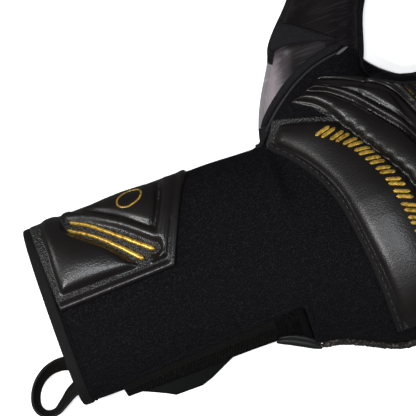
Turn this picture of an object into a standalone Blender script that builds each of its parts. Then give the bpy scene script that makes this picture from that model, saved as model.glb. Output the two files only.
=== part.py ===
"""A right-hand goalkeeper glove lying palm down: +X to the fingertips, +Y to the thumb, +Z out of the back.

The origin is on the flat underside of the palm's heel, on the centre line of the cuff.
Sizes are in millimetres and are turned into metres where a mesh is made.
"""

import math

import bmesh
import bpy
from mathutils import Matrix, Vector

MM = 0.001

# Driving sizes of the glove, in millimetres.
CUFF_LENGTH = 104.0  # cuff mouth to the origin
CUFF_WIDTH = 80.0
CUFF_TOP = 38.0  # height of the cuff's crown over the table
CUFF_FLOOR = 6.0  # the cuff's underside stands clear of the table by the strap's thickness
HEEL = 3.0  # the palm's latex begins this far behind the origin
CUFF_DROP = 18.0  # the length over which the cuff's underside comes down to the palm's
PALM_LENGTH = 112.0  # origin to the knuckle crease
HAND_TOP = 42.0
HAND_LITTLE_Y = -68.0  # outer side of the hand at the little finger's knuckle
HAND_THUMB_Y = 45.0  # inner side of the hand at the index finger's knuckle
SEAM_Z = 14.0  # height of the seam between the latex palm and the back

# Thicknesses of the sheets.
LATEX = 4.0
BACKING = 1.8
NEOPRENE = 3.5
LINING = 1.0
PAD = 4.5  # embossed foam pad, at its thickest
PAD_EDGE = 1.2  # the pad's flat stitched edge
WEBBING = 2.1
HOOK = 1.1  # each half of the hook and loop closure

# Clearances.
GAP = 0.35  # between sheets that touch
SURFACE_GAP = 0.7  # under a pad, because both it and the sheet below are faceted
PAD_REACH = 1.2  # how far around itself each point of a pad's underside clears the sheet below

# Fingers, from the knuckle crease: centre, half width, whole length, length to the middle joint, sideways slope.
FINGERS = {
    "index": dict(y=31.0, half=13.2, length=68.0, middle=29.0, slope=0.06),
    "middle": dict(y=2.8, half=13.4, length=77.0, middle=32.0, slope=0.0),
    "ring": dict(y=-25.5, half=13.2, length=70.0, middle=30.0, slope=-0.05),
    "little": dict(y=-53.5, half=12.3, length=52.0, middle=23.0, slope=-0.13),
}
FINGER_TOP = 27.0
FINGER_BACK = 3.0
FINGER_SEAM = 13.0
HINGE_Z = 7.0  # height of every finger joint's axis
FINGER_BEND = 75.0  # degrees, at each joint

# Thumb: where its base joint lies, which way it points, and its lengths from there.
THUMB_JOINT = (38.0, 67.0)
THUMB_ANGLE = 59.0
THUMB_BEND = 60.0
THUMB_HALF_AT_JOINT = 19.0
THUMB_HALF_AT_MIDDLE = 14.5
THUMB_HALF = 13.8
THUMB_MIDDLE = 27.0
THUMB_LENGTH = 60.0
THUMB_TOP = 28.0

# Mound: the stretch of glove between the palm and the thumb's base joint.
MOUND_Y = 38.5  # where it leaves the hand
MOUND_FROM, MOUND_TO = 5.0, 66.0  # its root along the hand
MOUND_TOP = 34.0
MOUND_SEAM = SEAM_Z
WRAP_FROM = 122.0  # degrees round the mound's arch where the latex wrap begins

# Strap under the cuff.
STRAP_CENTRE_X = -61.0
STRAP_WIDTH = 50.0
STRAP_ROOT_Y = 34.0
TAB_ROOT_Y = -5.0
STRAP_SIDE_Y = -41.5  # where the tab's straight sides end
STRAP_TIP_Y = -50.6
STRAP_BOTTOM = 0.3
PATCH_MARGIN = 4.0

# Side slit of the cuff.
SLIT_FROM, SLIT_TO = -87.0, -19.0  # the stretch closed by the mesh gusset
SLIT_END = -4.0
SLIT_FLOOR = 9.5
CUFF_SEAM = 20.0

# Pull loop at the cuff mouth.
LOOP_PIVOT = 5.0  # from the hem to the loop's own hinge line
LOOP_RIBBON = 1.6
LOOP_HEIGHT = 9.0
LOOP_Z = 5.2
HEM = 4.0

ARCH_Y_POWER, ARCH_Z_POWER = 2.6, 2.0
ARCH_STEPS = 14
CORNER = 9.0


# ---------------------------------------------------------------- small tools


def clear_scene():
    for obj in list(bpy.data.objects):
        bpy.data.objects.remove(obj, do_unlink=True)


def material(name, colour, roughness, metallic=0.0):
    made = bpy.data.materials.get(name) or bpy.data.materials.new(name)
    made.use_nodes = True
    shader = made.node_tree.nodes["Principled BSDF"]
    shader.inputs["Base Color"].default_value = (*colour, 1.0)
    shader.inputs["Roughness"].default_value = roughness
    shader.inputs["Metallic"].default_value = metallic
    return made


def body(name, at=(0.0, 0.0, 0.0), parent=None):
    """An empty on a joint's axis, which the pieces of one moving body hang from."""
    empty = bpy.data.objects.new(f"{name}_axis", None)
    bpy.context.scene.collection.objects.link(empty)
    empty.location = Vector(at) * MM
    if parent is not None:
        empty.parent = parent
        empty.location -= origin_of(parent)
    return empty


def origin_of(obj):
    place = Vector((0.0, 0.0, 0.0))
    while obj is not None:
        place += obj.location
        obj = obj.parent
    return place


def add_object(name, mesh_data, parent, finish):
    """Links a mesh given in the glove's frame, with its own origin on its body's."""
    shift = origin_of(parent)
    bmesh.ops.translate(mesh_data, verts=mesh_data.verts, vec=-shift)
    bmesh.ops.recalc_face_normals(mesh_data, faces=mesh_data.faces)
    mesh = bpy.data.meshes.new(name)
    mesh_data.to_mesh(mesh)
    mesh_data.free()
    mesh.shade_smooth()
    mesh.set_sharp_from_angle(angle=math.radians(40))
    mesh.materials.append(finish)
    obj = bpy.data.objects.new(name, mesh)
    bpy.context.scene.collection.objects.link(obj)
    obj.parent = parent
    return obj


def sheet(name, outer, inner, parent, finish, centre_line=False, ring=False):
    """A closed sheet between two grids of points, outer[i][j] and inner[i][j].

    With centre_line the last column of one half of the grid lies on that of the other half, so it gets no edge.
    With ring the last row joins the first."""
    made = bmesh.new()
    grids = [[[made.verts.new(Vector(p) * MM) for p in row] for row in grid] for grid in (outer, inner)]
    rows, columns = len(outer), len(outer[0])
    for i in range(rows if ring else rows - 1):
        k = (i + 1) % rows
        for j in range(columns - 1):
            for a in grids:
                made.faces.new((a[i][j], a[k][j], a[k][j + 1], a[i][j + 1]))
        for j in (0,) if centre_line else (0, columns - 1):
            a, b = grids
            made.faces.new((a[i][j], a[k][j], b[k][j], b[i][j]))
    if not ring:
        for i in (0, rows - 1):
            for j in range(columns - 1):
                a, b = grids
                made.faces.new((a[i][j], a[i][j + 1], b[i][j + 1], b[i][j]))
    if centre_line:
        bmesh.ops.remove_doubles(made, verts=made.verts, dist=1e-6)
    return add_object(name, made, parent, finish)


def plate(name, outline, low, high, parent, finish):
    """A flat plate with the given outline in plan, between two heights."""
    made = bmesh.new()
    base = [made.verts.new(Vector((x, y, low)) * MM) for x, y in outline]
    face = made.faces.new(base)
    grown = bmesh.ops.extrude_face_region(made, geom=[face])
    moved = [v for v in grown["geom"] if isinstance(v, bmesh.types.BMVert)]
    bmesh.ops.translate(made, verts=moved, vec=(0, 0, (high - low) * MM))
    return add_object(name, made, parent, finish)


def smooth(t):
    t = min(max(t, 0.0), 1.0)
    return t * t * (3 - 2 * t)


def between(stations, x):
    """A smooth curve through (x, value) pairs, level outside them."""
    if x <= stations[0][0]:
        return stations[0][1]
    for (x0, v0), (x1, v1) in zip(stations, stations[1:]):
        if x <= x1:
            return v0 + (v1 - v0) * smooth((x - x0) / (x1 - x0))
    return stations[-1][1]


def steps(low, high, count):
    return [low + (high - low) * i / count for i in range(count + 1)]


# ---------------------------------------------------------------- cross-sections


def arch(half, left_rim, right_rim, top, count=ARCH_STEPS):
    """The outline of an arch from its left rim over the crown to its right rim, as (across, height)."""
    points = []
    for i in range(count + 1):
        turn = math.pi * i / count
        rim = left_rim if turn <= math.pi / 2 else right_rim
        across = math.copysign(abs(math.cos(turn)) ** (2 / ARCH_Y_POWER), -math.cos(turn))
        up = abs(math.sin(turn)) ** (2 / ARCH_Z_POWER)
        points.append((half * across, rim + (top - rim) * up))
    return points


def tray_side(half, rim, floor, corner):
    """Half of a tray's outline, from its rim down the side and in to the centre line, as (across, height)."""
    corner = max(min(corner, rim - floor), 0.05)
    points = [(half, rim)]
    for i in range(4):
        turn = math.radians(30 * i)
        points.append((half - corner * (1 - math.cos(turn)), floor + corner * (1 - math.sin(turn))))
    inner = half - corner
    return points + [(inner * share, floor) for share in (0.6, 0.25, 0.0)]


def tray(half, left_rim, right_rim, floor, corner):
    """The outline of a tray, from its left rim to its right rim."""
    left = [(-across, up) for across, up in tray_side(half, left_rim, floor, corner)]
    right = tray_side(half, right_rim, floor, corner)
    return left + right[-2::-1]


def crease(z, bend, hinge=HINGE_Z):
    """How far a sheet's end stands back from a joint's axis at height z, so that the joint can bend towards the palm."""
    depth = max(hinge - z, 0.0)
    return 0.5 + depth * math.tan(math.radians(bend / 2 + 1.5))


# ---------------------------------------------------------------- the hand's and cuff's shape

KNUCKLE_X = PALM_LENGTH
CUFF_X = -CUFF_LENGTH
HALF_CUFF = CUFF_WIDTH / 2
LITTLE_SIDE = [(CUFF_X, -HALF_CUFF), (-60, -HALF_CUFF), (-25, -HALF_CUFF + 1.5), (0, -50), (35, -62), (75, HAND_LITTLE_Y)]
THUMB_SIDE = [(CUFF_X, HALF_CUFF), (-60, HALF_CUFF), (-20, MOUND_Y), (MOUND_TO, MOUND_Y), (85, HAND_THUMB_Y)]
CROWN = [(CUFF_X, CUFF_TOP), (-40, CUFF_TOP), (20, HAND_TOP), (70, HAND_TOP), (KNUCKLE_X, 34)]
MOUND_CENTRE = (MOUND_FROM + MOUND_TO) / 2
MOUND_HALF = (MOUND_TO - MOUND_FROM) / 2


def hand_span(x):
    """Centre and half width of the hand or cuff at x."""
    low, high = between(LITTLE_SIDE, x), between(THUMB_SIDE, x)
    return (low + high) / 2, (high - low) / 2


def back_rims(x):
    """Heights of the back's two rims at x: on the thumb's side it climbs over the mouth of the mound."""
    rim = CUFF_SEAM + (SEAM_Z - CUFF_SEAM) * smooth((x + 25) / 25)
    share = abs(x - MOUND_CENTRE) / MOUND_HALF
    if share >= 1:
        return rim, rim
    return rim, rim + (MOUND_TOP - rim) * (1 - share**ARCH_Y_POWER) ** (1 / ARCH_Z_POWER)


def back_height(x, y, lift=0.0):
    """Height of the back's outer surface over the point x, y."""
    centre, half = hand_span(x)
    rim = back_rims(x)[0 if y < centre else 1]
    share = min(abs(y - centre) / (half + lift), 1.0)
    return rim + (between(CROWN, x) + lift - rim) * (1 - share**ARCH_Y_POWER) ** (1 / ARCH_Z_POWER)


def back_row(x, lift, end=None):
    centre, half = hand_span(x)
    left, right = back_rims(x)
    outline = arch(half + lift, left + GAP / 2, right + GAP / 2, between(CROWN, x) + lift)
    return [(x if end is None else end(z), centre + across, z) for across, z in outline]


def palm_row(x, lift, end=None):
    """One row of the latex palm, lift millimetres inside its outer face. It is open towards the mound."""
    centre, half = hand_span(x)
    share = abs(x - MOUND_CENTRE) / MOUND_HALF
    low = LATEX + BACKING + 2 * GAP
    open_rim = SEAM_Z - (SEAM_Z - low) * (1 - min(share, 1.0) ** 6)
    outline = tray(half - lift, SEAM_Z - GAP / 2, open_rim - GAP / 2, lift, CORNER - lift)
    return [(x if end is None else end(z), centre + across, z) for across, z in outline]


# ---------------------------------------------------------------- fingers


def finger_part(name, root, tip, bend, parent, place, half, seam, top, latex_finish, back_finish, round_tip):
    """One stretch of a finger: a latex tray below and a sewn back above, in the finger's own frame.

    root and tip are distances along the finger. place turns (along, across, height) into the glove's frame.
    half gives the half width at a distance."""

    def row_to(outline_at, lift, start_at, end_at):
        """Rows down the left side, round the tip if it is round, and back up the right side."""
        straight = 5
        rows = []
        last = tip - half(tip) if round_tip else tip
        for side in (-1, 1):
            lane = []
            for i in range(straight + 1):
                share = i / straight
                profile = outline_at(half(root + (last - root) * share) - lift)
                lane.append([place(start_at(z) + (end_at(z, last) - start_at(z)) * share, side * across, z)
                             for across, z in profile])
            rows.append(lane)
        if not round_tip:
            return rows
        turn_steps = 8
        cap = []
        for i in range(1, turn_steps):
            turn = math.pi * i / turn_steps
            profile = outline_at(half(last) - lift)
            cap.append([place(last + across * math.sin(turn), -across * math.cos(turn), z) for across, z in profile])
        return [rows[0] + cap + rows[1][::-1]]

    def start_at(z):
        return root + crease(z, bend)

    def end_at(z, last):
        return last if round_tip else tip - crease(z, bend)

    def lower(width, lift=0.0):
        return tray_side(width, seam - GAP / 2, lift, 6.5 - lift)

    def upper(width, lift=0.0):
        outline = arch(width, seam + GAP / 2, seam + GAP / 2, top - lift, 10)
        return [(-across, z) for across, z in outline[:6]]

    wall = LATEX + 1.0
    for kind, profile, thick, finish in (("latex", lower, wall, latex_finish), ("back", upper, FINGER_BACK, back_finish)):
        outer = row_to(profile, 0.0, start_at, end_at)
        inner = row_to(lambda width: profile(width, thick), thick, start_at, end_at)
        if round_tip:
            sheet(f"{name}_{kind}", outer[0], inner[0], parent, finish, centre_line=True)
        else:
            whole = [[left + right[-2::-1] for left, right in zip(*lanes)] for lanes in (outer, inner)]
            sheet(f"{name}_{kind}", whole[0], whole[1], parent, finish)


def finger_pad(name, root, tip, place, half, seam, top, parent, finish):
    """The embossed pad on the back of one stretch of a finger."""
    rows, columns = 8, 8
    outer, inner = [], []
    for i in range(rows + 1):
        along = root + (tip - root) * i / rows
        raised, seat = [], []
        for j in range(columns + 1):
            across = -1 + 2 * j / columns
            edge = min(i, rows - i, j, columns - j)
            lift = PAD_EDGE + (PAD - PAD_EDGE) * min(edge / 2, 1.0) ** 0.6
            share = 0.72 * across
            up = (1 - abs(share) ** ARCH_Y_POWER) ** (1 / ARCH_Z_POWER)
            base = seam + (top - seam) * up + SURFACE_GAP
            seat.append(place(along, share * half(along), base))
            raised.append(place(along, share * half(along), base + lift))
        outer.append(raised)
        inner.append(seat)
    sheet(name, outer, inner, parent, finish)


def make_finger(name, size, hand, latex_finish, back_finish, pad_finish):
    knuckle = (KNUCKLE_X, size["y"], HINGE_Z)
    middle = (KNUCKLE_X + size["middle"], size["y"] + size["slope"] * size["middle"], HINGE_Z)
    base = body(f"{name}_base", knuckle, hand)
    tip = body(f"{name}_tip", middle, base)

    def place(along, across, up):
        return (KNUCKLE_X + along, size["y"] + size["slope"] * along + across, up)

    def half(along):
        return size["half"] - 0.8 * smooth(along / size["length"])

    stretches = (
        (f"{name}_base", 0.0, size["middle"], base, False),
        (f"{name}_tip", size["middle"], size["length"], tip, True),
    )
    for label, root, end, parent, round_tip in stretches:
        finger_part(label, root, end, FINGER_BEND, parent, place, half, FINGER_SEAM, FINGER_TOP,
                    latex_finish, back_finish, round_tip)
        pad_end = end - half(end) * 0.75 if round_tip else end - 2.5
        finger_pad(f"{label}_pad", root + 2.5, pad_end, place, half, FINGER_SEAM, FINGER_TOP, parent, pad_finish)


def make_thumb(hand, latex_finish, back_finish, pad_finish):
    turn = math.radians(THUMB_ANGLE)
    ahead, aside = Vector((math.cos(turn), math.sin(turn))), Vector((math.sin(turn), -math.cos(turn)))
    joint = Vector(THUMB_JOINT)

    def place(along, across, up):
        spot = joint + ahead * along + aside * across
        return (spot.x, spot.y, up)

    def half(along):
        if along <= THUMB_MIDDLE:
            return THUMB_HALF_AT_JOINT + (THUMB_HALF_AT_MIDDLE - THUMB_HALF_AT_JOINT) * smooth(along / THUMB_MIDDLE)
        share = smooth((along - THUMB_MIDDLE) / (THUMB_LENGTH - THUMB_MIDDLE))
        return THUMB_HALF_AT_MIDDLE + (THUMB_HALF - THUMB_HALF_AT_MIDDLE) * share

    base = body("thumb_base", place(0, 0, HINGE_Z), hand)
    tip = body("thumb_tip", place(THUMB_MIDDLE, 0, HINGE_Z), base)
    finger_part("thumb_base", 0.0, THUMB_MIDDLE, THUMB_BEND, base, place, half, MOUND_SEAM, THUMB_TOP,
                latex_finish, back_finish, False)
    finger_part("thumb_tip", THUMB_MIDDLE, THUMB_LENGTH, THUMB_BEND, tip, place, half, MOUND_SEAM, THUMB_TOP,
                latex_finish, back_finish, True)
    finger_pad("thumb_tip_pad", THUMB_MIDDLE + 2.5, THUMB_LENGTH - THUMB_HALF * 0.75, place, half, MOUND_SEAM,
               THUMB_TOP, tip, pad_finish)


def mound_rows(outline_at, lift):
    """Rows of the mound from the hand's open side to the thumb's base joint."""
    rows = []
    for share in steps(0, 1, 5):
        centre, ahead, half, top = mound_section(share)
        aside = Vector((ahead.y, -ahead.x))
        row = []
        for across, z in outline_at(half - lift, top - lift):
            back = crease(z, THUMB_BEND) * share**4
            spot = centre + aside * across - ahead * back
            row.append((spot.x, spot.y, z))
        rows.append(row)
    return rows


def make_mound(hand, latex_finish, wrap_finish, back_finish, welt_finish):
    wall = LATEX + BACKING + GAP

    def floor_at(lift):
        return lambda half, top: tray(half, MOUND_SEAM - GAP / 2, MOUND_SEAM - GAP / 2, lift, 8.0 - lift)

    sheet("thumb_mound_latex", mound_rows(floor_at(0.0), 0.0), mound_rows(floor_at(wall), wall), hand, latex_finish)

    count = 18
    split = round(count * WRAP_FROM / 180)

    def arch_part(low, high):
        return lambda half, top: arch(half, MOUND_SEAM + GAP / 2, MOUND_SEAM + GAP / 2, top, count)[low:high]

    wrap = count - split
    for label, part, finish in (
        ("thumb_wrap_latex", arch_part(0, wrap + 1), wrap_finish),
        ("thumb_mound_back", arch_part(wrap + 1, count + 1), back_finish),
    ):
        sheet(label, mound_rows(part, 0.0), mound_rows(part, NEOPRENE), hand, finish)
    welt = arch_part(wrap, wrap + 2)
    sheet("thumb_welt", mound_rows(welt, -SURFACE_GAP - 1.2), mound_rows(welt, -SURFACE_GAP), hand, welt_finish)


# ---------------------------------------------------------------- hand and cuff


def palm_stations():
    return [-HEEL] + steps(MOUND_FROM, MOUND_TO, 7) + steps(MOUND_TO, KNUCKLE_X, 4)[1:]


def make_palm(hand, latex_finish, backing_finish):
    stations = palm_stations()

    def rows(lift):
        found = []
        for x in stations:
            def end(z, share=(x + HEEL) / (KNUCKLE_X + HEEL)):
                return -HEEL + (KNUCKLE_X - crease(z, FINGER_BEND) + HEEL) * share

            found.append(palm_row(x, lift, end))
        return found

    sheet("palm_latex", rows(0.0), rows(LATEX), hand, latex_finish)
    sheet("palm_backing", rows(LATEX + GAP), rows(LATEX + GAP + BACKING), hand, backing_finish)


def cuff_stations():
    """Stations along the cuff, the same above and below so that the seams meet."""
    shares = (0.0, 0.07, 0.16, 0.28, 0.41, 0.54, 0.66, 0.74, 0.8, 0.85, 0.9, 0.95, 1.0)
    last = -HEEL - GAP
    return [CUFF_X + (last - CUFF_X) * share for share in shares]


def hand_stations():
    """Stations along the hand's back, closest together at the two ends of the mound's mouth."""
    mouth = [0.0, 0.025, 0.08, 0.2, 0.35, 0.5, 0.65, 0.8, 0.92, 0.975, 1.0]
    over_mound = [MOUND_FROM + (MOUND_TO - MOUND_FROM) * share for share in mouth]
    beyond = steps(MOUND_TO, KNUCKLE_X - 0.5, 5)
    return over_mound + beyond[1:]


def make_back(hand, neoprene_finish, lining_finish):
    stations = cuff_stations() + [0.0] + hand_stations()
    sheet("back_panel", [back_row(x, 0.0) for x in stations], [back_row(x, -NEOPRENE) for x in stations],
          hand, neoprene_finish)
    deep = NEOPRENE + GAP
    sheet("back_lining", [back_row(x, -deep) for x in stations], [back_row(x, -deep - LINING) for x in stations],
          hand, lining_finish)


def cuff_under_row(x, lift):
    """One row of the cuff's underside. Beside the slit it stays low and the mesh gusset fills its side."""
    centre, half = hand_span(x)
    left, right = SLIT_FLOOR, back_rims(x)[1]
    floor = CUFF_FLOOR * (1 - smooth((x + HEEL + CUFF_DROP) / CUFF_DROP))
    outline = tray(half - lift, left - GAP / 2, right - GAP / 2, floor + lift, 10.0 - lift)
    return [(x, centre + across, z) for across, z in outline]


def make_cuff(hand, neoprene_finish, mesh_finish, hook_finish, binding_finish):
    stations = cuff_stations()
    sheet("cuff_under_panel", [cuff_under_row(x, 0.0) for x in stations],
          [cuff_under_row(x, NEOPRENE) for x in stations], hand, neoprene_finish)

    def wall(name, first, last, out, thick, finish, count):
        """A strip that closes part of the slit in the cuff's little-finger side."""
        outer, inner = [], []
        for x in steps(first, last, count):
            centre, half = hand_span(x)
            rim = back_rims(x)[0]
            low, high = SLIT_FLOOR + GAP, rim - GAP
            for row, depth in ((outer, out), (inner, out - thick)):
                bulge = [0.0, 0.8, 1.0, 0.8, 0.0]
                row.append([(x, centre - half - depth * share if depth > 0 else centre - half - depth, z)
                            for share, z in zip(bulge, steps(low, high, 4))])
        sheet(name, outer, inner, hand, finish)

    wall("slit_gusset", SLIT_FROM, SLIT_TO, 1.6, 3.2, mesh_finish, 8)
    wall("slit_end_patch", SLIT_TO + 1.0, SLIT_END - 4.5, -2.0, 1.4, hook_finish, 2)
    wall("slit_end_bar", SLIT_END - 4.0, SLIT_END, 0.6, 3.0, binding_finish, 1)

    def hem_points(lift):
        """The cuff's mouth, from the slit's upper lip over the back and under to its lower lip."""
        over = [(y, z) for _, y, z in back_row(CUFF_X, lift)]
        under = [(y, z) for _, y, z in cuff_under_row(CUFF_X, -lift)]
        return over + under[::-1][1:-1]

    loops = []
    for lift in (0.9, -NEOPRENE - LINING - 2 * GAP - 0.6):
        ends = (CUFF_X - GAP, CUFF_X - GAP - HEM / 2, CUFF_X - GAP - HEM)
        loops.append([[(x, y, z) for x in ends] for y, z in hem_points(lift)])
    sheet("cuff_hem", loops[0], loops[1], hand, binding_finish)


def mound_section(share):
    """The mound's cross-section at a share of the way from the hand to the thumb's base joint."""
    turn = math.radians(THUMB_ANGLE)
    angle = math.pi / 2 + (turn - math.pi / 2) * smooth(share)
    root, joint = Vector((MOUND_CENTRE, MOUND_Y + GAP)), Vector(THUMB_JOINT)
    half = MOUND_HALF + (THUMB_HALF_AT_JOINT - MOUND_HALF) * smooth(share)
    top = MOUND_TOP + (THUMB_TOP - MOUND_TOP) * share
    ahead = Vector((math.cos(angle), math.sin(angle)))
    return root + (joint - root) * share, ahead, half, top


def mound_height(x, y):
    """Height of the mound's outer surface over the point x, y."""
    low, high = 0.0, 1.0
    for _ in range(16):
        share = (low + high) / 2
        centre, ahead, half, top = mound_section(share)
        spot = Vector((x, y)) - centre
        if spot.dot(ahead) > 0:
            low = share
        else:
            high = share
    across = min(abs(spot.x * ahead.y - spot.y * ahead.x) / half, 1.0)
    return MOUND_SEAM + (top - MOUND_SEAM) * (1 - across**ARCH_Y_POWER) ** (1 / ARCH_Z_POWER)


def seat_height(x, y, reach=PAD_REACH):
    """The highest point of the glove's back within reach of x, y: a pad's underside clears it on slopes too."""
    found = []
    for dx in (-reach, 0.0, reach):
        for dy in (-reach, 0.0, reach):
            found.append(back_height(x + dx, y + dy))
            if y + dy > MOUND_Y:
                found.append(mound_height(x + dx, y + dy))
    return max(found) + SURFACE_GAP


def surface_pad(name, wrist_edge, finger_edge, y_from, y_to, columns, rows, hand, finish, thick=PAD):
    """An embossed pad on the back between two edges, each giving x for a y."""
    outer, inner = [], []
    for j in range(columns + 1):
        y = y_from + (y_to - y_from) * j / columns
        raised, seat = [], []
        for i in range(rows + 1):
            x = wrist_edge(y) + (finger_edge(y) - wrist_edge(y)) * i / rows
            edge = min(i, rows - i, j, columns - j)
            lift = PAD_EDGE + (thick - PAD_EDGE) * min(edge / 2, 1.0) ** 0.6
            base = seat_height(x, y)
            seat.append((x, y, base))
            raised.append((x, y, base + lift))
        outer.append(raised)
        inner.append(seat)
    return sheet(name, outer, inner, hand, finish)


CRESCENT_WRIST = [(-60, 32.0), (-43, 29.0), (-25, 26.5), (-3, 23.0), (22, 15.5), (34, 9.5), (40, 13.0), (50, 23.0)]
CRESCENT_FINGER = [(-60, 84.0), (-42, 84.0), (-25, 80.0), (0, 72.0), (19, 66.0), (35, 58.0), (45, 47.0), (50, 38.0)]
KNUCKLE_EDGE = [(-60, 98.0), (-30, 103.0), (0, 105.0), (20, 103.0), (41, 94.0)]
CRESCENT_SPAN = (-59.0, 49.0)
KNUCKLE_SPAN = (-58.0, 33.0)


def edge_through(points, offset=0.0):
    return lambda y: between(points, y) + offset


def make_pads(hand, pad_finish, piping_finish):
    surface_pad("crescent_pad", edge_through(CRESCENT_WRIST, 3.0), edge_through(CRESCENT_FINGER),
                *CRESCENT_SPAN, 22, 8, hand, pad_finish)
    surface_pad("crescent_welt", edge_through(CRESCENT_WRIST, -1.2), edge_through(CRESCENT_WRIST, 3.0 - GAP),
                *CRESCENT_SPAN, 22, 2, hand, piping_finish, thick=2.2)
    surface_pad("knuckle_pad", edge_through(CRESCENT_FINGER, 2 * GAP), edge_through(KNUCKLE_EDGE),
                *KNUCKLE_SPAN, 18, 5, hand, pad_finish)

    def cuff_pad_rows(lift_of):
        """Rows along the cuff; each goes from the crown over the thumb's side."""
        rows = []
        columns, count = 8, 10
        for j in range(columns + 1):
            turn = 90 + 68 * j / columns
            row = []
            for i in range(count + 1):
                reach = -49.0 + 20.0 * smooth(j / columns * 1.2)
                x = CUFF_X + 2.0 + (reach - CUFF_X - 2.0) * i / count
                edge = min(i, count - i, j, columns - j)
                lift = lift_of(edge)
                centre, half = hand_span(x)
                rim, top = back_rims(x)[1], between(CROWN, x)
                angle = math.radians(turn)
                across = abs(math.cos(angle)) ** (2 / ARCH_Y_POWER) * (half + lift)
                up = rim + (top + lift - rim) * math.sin(angle) ** (2 / ARCH_Z_POWER)
                row.append((x, centre + across, up))
            rows.append(row)
        return rows

    sheet("cuff_pad", cuff_pad_rows(lambda edge: SURFACE_GAP + PAD_EDGE + (PAD - PAD_EDGE) * min(edge / 2, 1.0) ** 0.6),
          cuff_pad_rows(lambda edge: SURFACE_GAP), hand, pad_finish)


def make_edge_strip(hand, finish):
    """The cut edge of the palm's latex, standing out under the back along the little-finger side."""
    outer, inner = [], []
    for x in palm_stations()[1:-1]:
        centre, half = hand_span(x)
        side = centre - half - GAP
        outer.append([(x, side - 1.8, 9.2), (x, side - 2.2, 11.2), (x, side - 1.8, 13.2)])
        inner.append([(x, side, 9.2), (x, side, 11.2), (x, side, 13.2)])
    sheet("latex_edge_strip", outer, inner, hand, finish)


# ---------------------------------------------------------------- strap and pull loop


def make_strap(hand, elastic_finish, tab_finish, hook_finish, loop_finish, binding_finish):
    low, high = STRAP_BOTTOM, STRAP_BOTTOM + WEBBING
    left, right = STRAP_CENTRE_X - STRAP_WIDTH / 2, STRAP_CENTRE_X + STRAP_WIDTH / 2
    band = body("strap", (STRAP_CENTRE_X, STRAP_ROOT_Y, low), hand)
    tab = body("strap_tab", (STRAP_CENTRE_X, TAB_ROOT_Y, low), band)
    plate("strap_band", [(left, TAB_ROOT_Y + GAP), (right, TAB_ROOT_Y + GAP), (right, STRAP_ROOT_Y), (left, STRAP_ROOT_Y)],
          low, high, band, elastic_finish)
    tab_outline = [(left, TAB_ROOT_Y - GAP), (left, STRAP_SIDE_Y), (STRAP_CENTRE_X, STRAP_TIP_Y), (right, STRAP_SIDE_Y),
                   (right, TAB_ROOT_Y - GAP)]
    plate("strap_tab", tab_outline, low, high, tab, tab_finish)

    def patch(name, first, last, bottom, parent, finish):
        inset = PATCH_MARGIN
        plate(name, [(left + inset, first), (right - inset, first), (right - inset, last), (left + inset, last)],
              bottom, bottom + HOOK, parent, finish)

    patch("hook_patch", STRAP_SIDE_Y + PATCH_MARGIN * 2.5, TAB_ROOT_Y - PATCH_MARGIN, high + GAP / 2, tab, hook_finish)
    patch("loop_patch", STRAP_SIDE_Y + PATCH_MARGIN * 3.0, TAB_ROOT_Y - PATCH_MARGIN,
          CUFF_FLOOR - GAP - HOOK, hand, loop_finish)
    plate("strap_anchor", [(left, STRAP_ROOT_Y - 8), (right, STRAP_ROOT_Y - 8), (right, STRAP_ROOT_Y - 3),
                           (left, STRAP_ROOT_Y - 3)],
          high + GAP, CUFF_FLOOR - GAP, hand, binding_finish)


def make_pull_loop(hand, ribbon_finish):
    pivot_x = CUFF_X - GAP - HEM - LOOP_PIVOT
    loop = body("pull_loop", (pivot_x, -22.5, LOOP_Z), hand)
    plate("pull_loop_root", [(CUFF_X - 2 * GAP - HEM, -17), (CUFF_X - 2 * GAP - HEM, -28), (pivot_x + 0.6, -28),
                             (pivot_x + 0.6, -17)], LOOP_Z - 0.6, LOOP_Z + 0.6, hand, ribbon_finish)
    root = pivot_x - 1.6
    route = [(root, -18.5), (root - 5.5, -19.0), (root - 12.0, -23.0), (root - 16.5, -30.0), (root - 18.0, -37.0),
             (root - 15.5, -40.5), (root - 11.5, -39.0), (root - 6.0, -32.5), (root, -26.5)]
    outer, inner = [], []
    for i, (x, y) in enumerate(route):
        before, after = route[i - 1], route[(i + 1) % len(route)]
        along = (Vector(after) - Vector(before)).normalized()
        aside = Vector((along.y, -along.x)) * LOOP_RIBBON / 2
        for rows, sign in ((outer, 1), (inner, -1)):
            rows.append([(x + sign * aside.x, y + sign * aside.y, z)
                         for z in (LOOP_Z - LOOP_HEIGHT / 2, LOOP_Z, LOOP_Z + LOOP_HEIGHT / 2)])
    sheet("pull_loop", outer, inner, loop, ribbon_finish, ring=True)


def main():
    clear_scene()
    latex = material("latex", (0.035, 0.035, 0.038), 0.75)
    film = material("wrapped_latex", (0.05, 0.045, 0.048), 0.15)
    neoprene = material("neoprene", (0.018, 0.018, 0.022), 0.9)
    leather = material("embossed_leather", (0.025, 0.023, 0.022), 0.35)
    mesh_cloth = material("mesh_cloth", (0.02, 0.02, 0.02), 0.85)
    binding = material("binding", (0.03, 0.03, 0.03), 0.6)
    hook = material("hook", (0.01, 0.01, 0.01), 0.95)
    ribbon = material("ribbon", (0.02, 0.02, 0.02), 0.7)
    foam = material("cut_foam", (0.16, 0.13, 0.11), 0.95)

    hand = body("hand")
    make_palm(hand, latex, foam)
    make_back(hand, neoprene, mesh_cloth)
    make_cuff(hand, neoprene, mesh_cloth, hook, binding)
    make_pads(hand, leather, binding)
    make_edge_strip(hand, foam)
    make_mound(hand, latex, film, neoprene, binding)
    make_thumb(hand, latex, neoprene, leather)
    for name, size in FINGERS.items():
        make_finger(name, size, hand, latex, neoprene, leather)
    make_strap(hand, mesh_cloth, leather, hook, hook, binding)
    make_pull_loop(hand, ribbon)


main()
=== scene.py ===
"""The look of a right-hand goalkeeper glove lying palm down, built over its solid model. Sizes are in mm."""

import math

import bmesh
import bpy
import numpy as np
from mathutils import Matrix, Vector, noise
from mathutils.bvhtree import BVHTree


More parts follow.
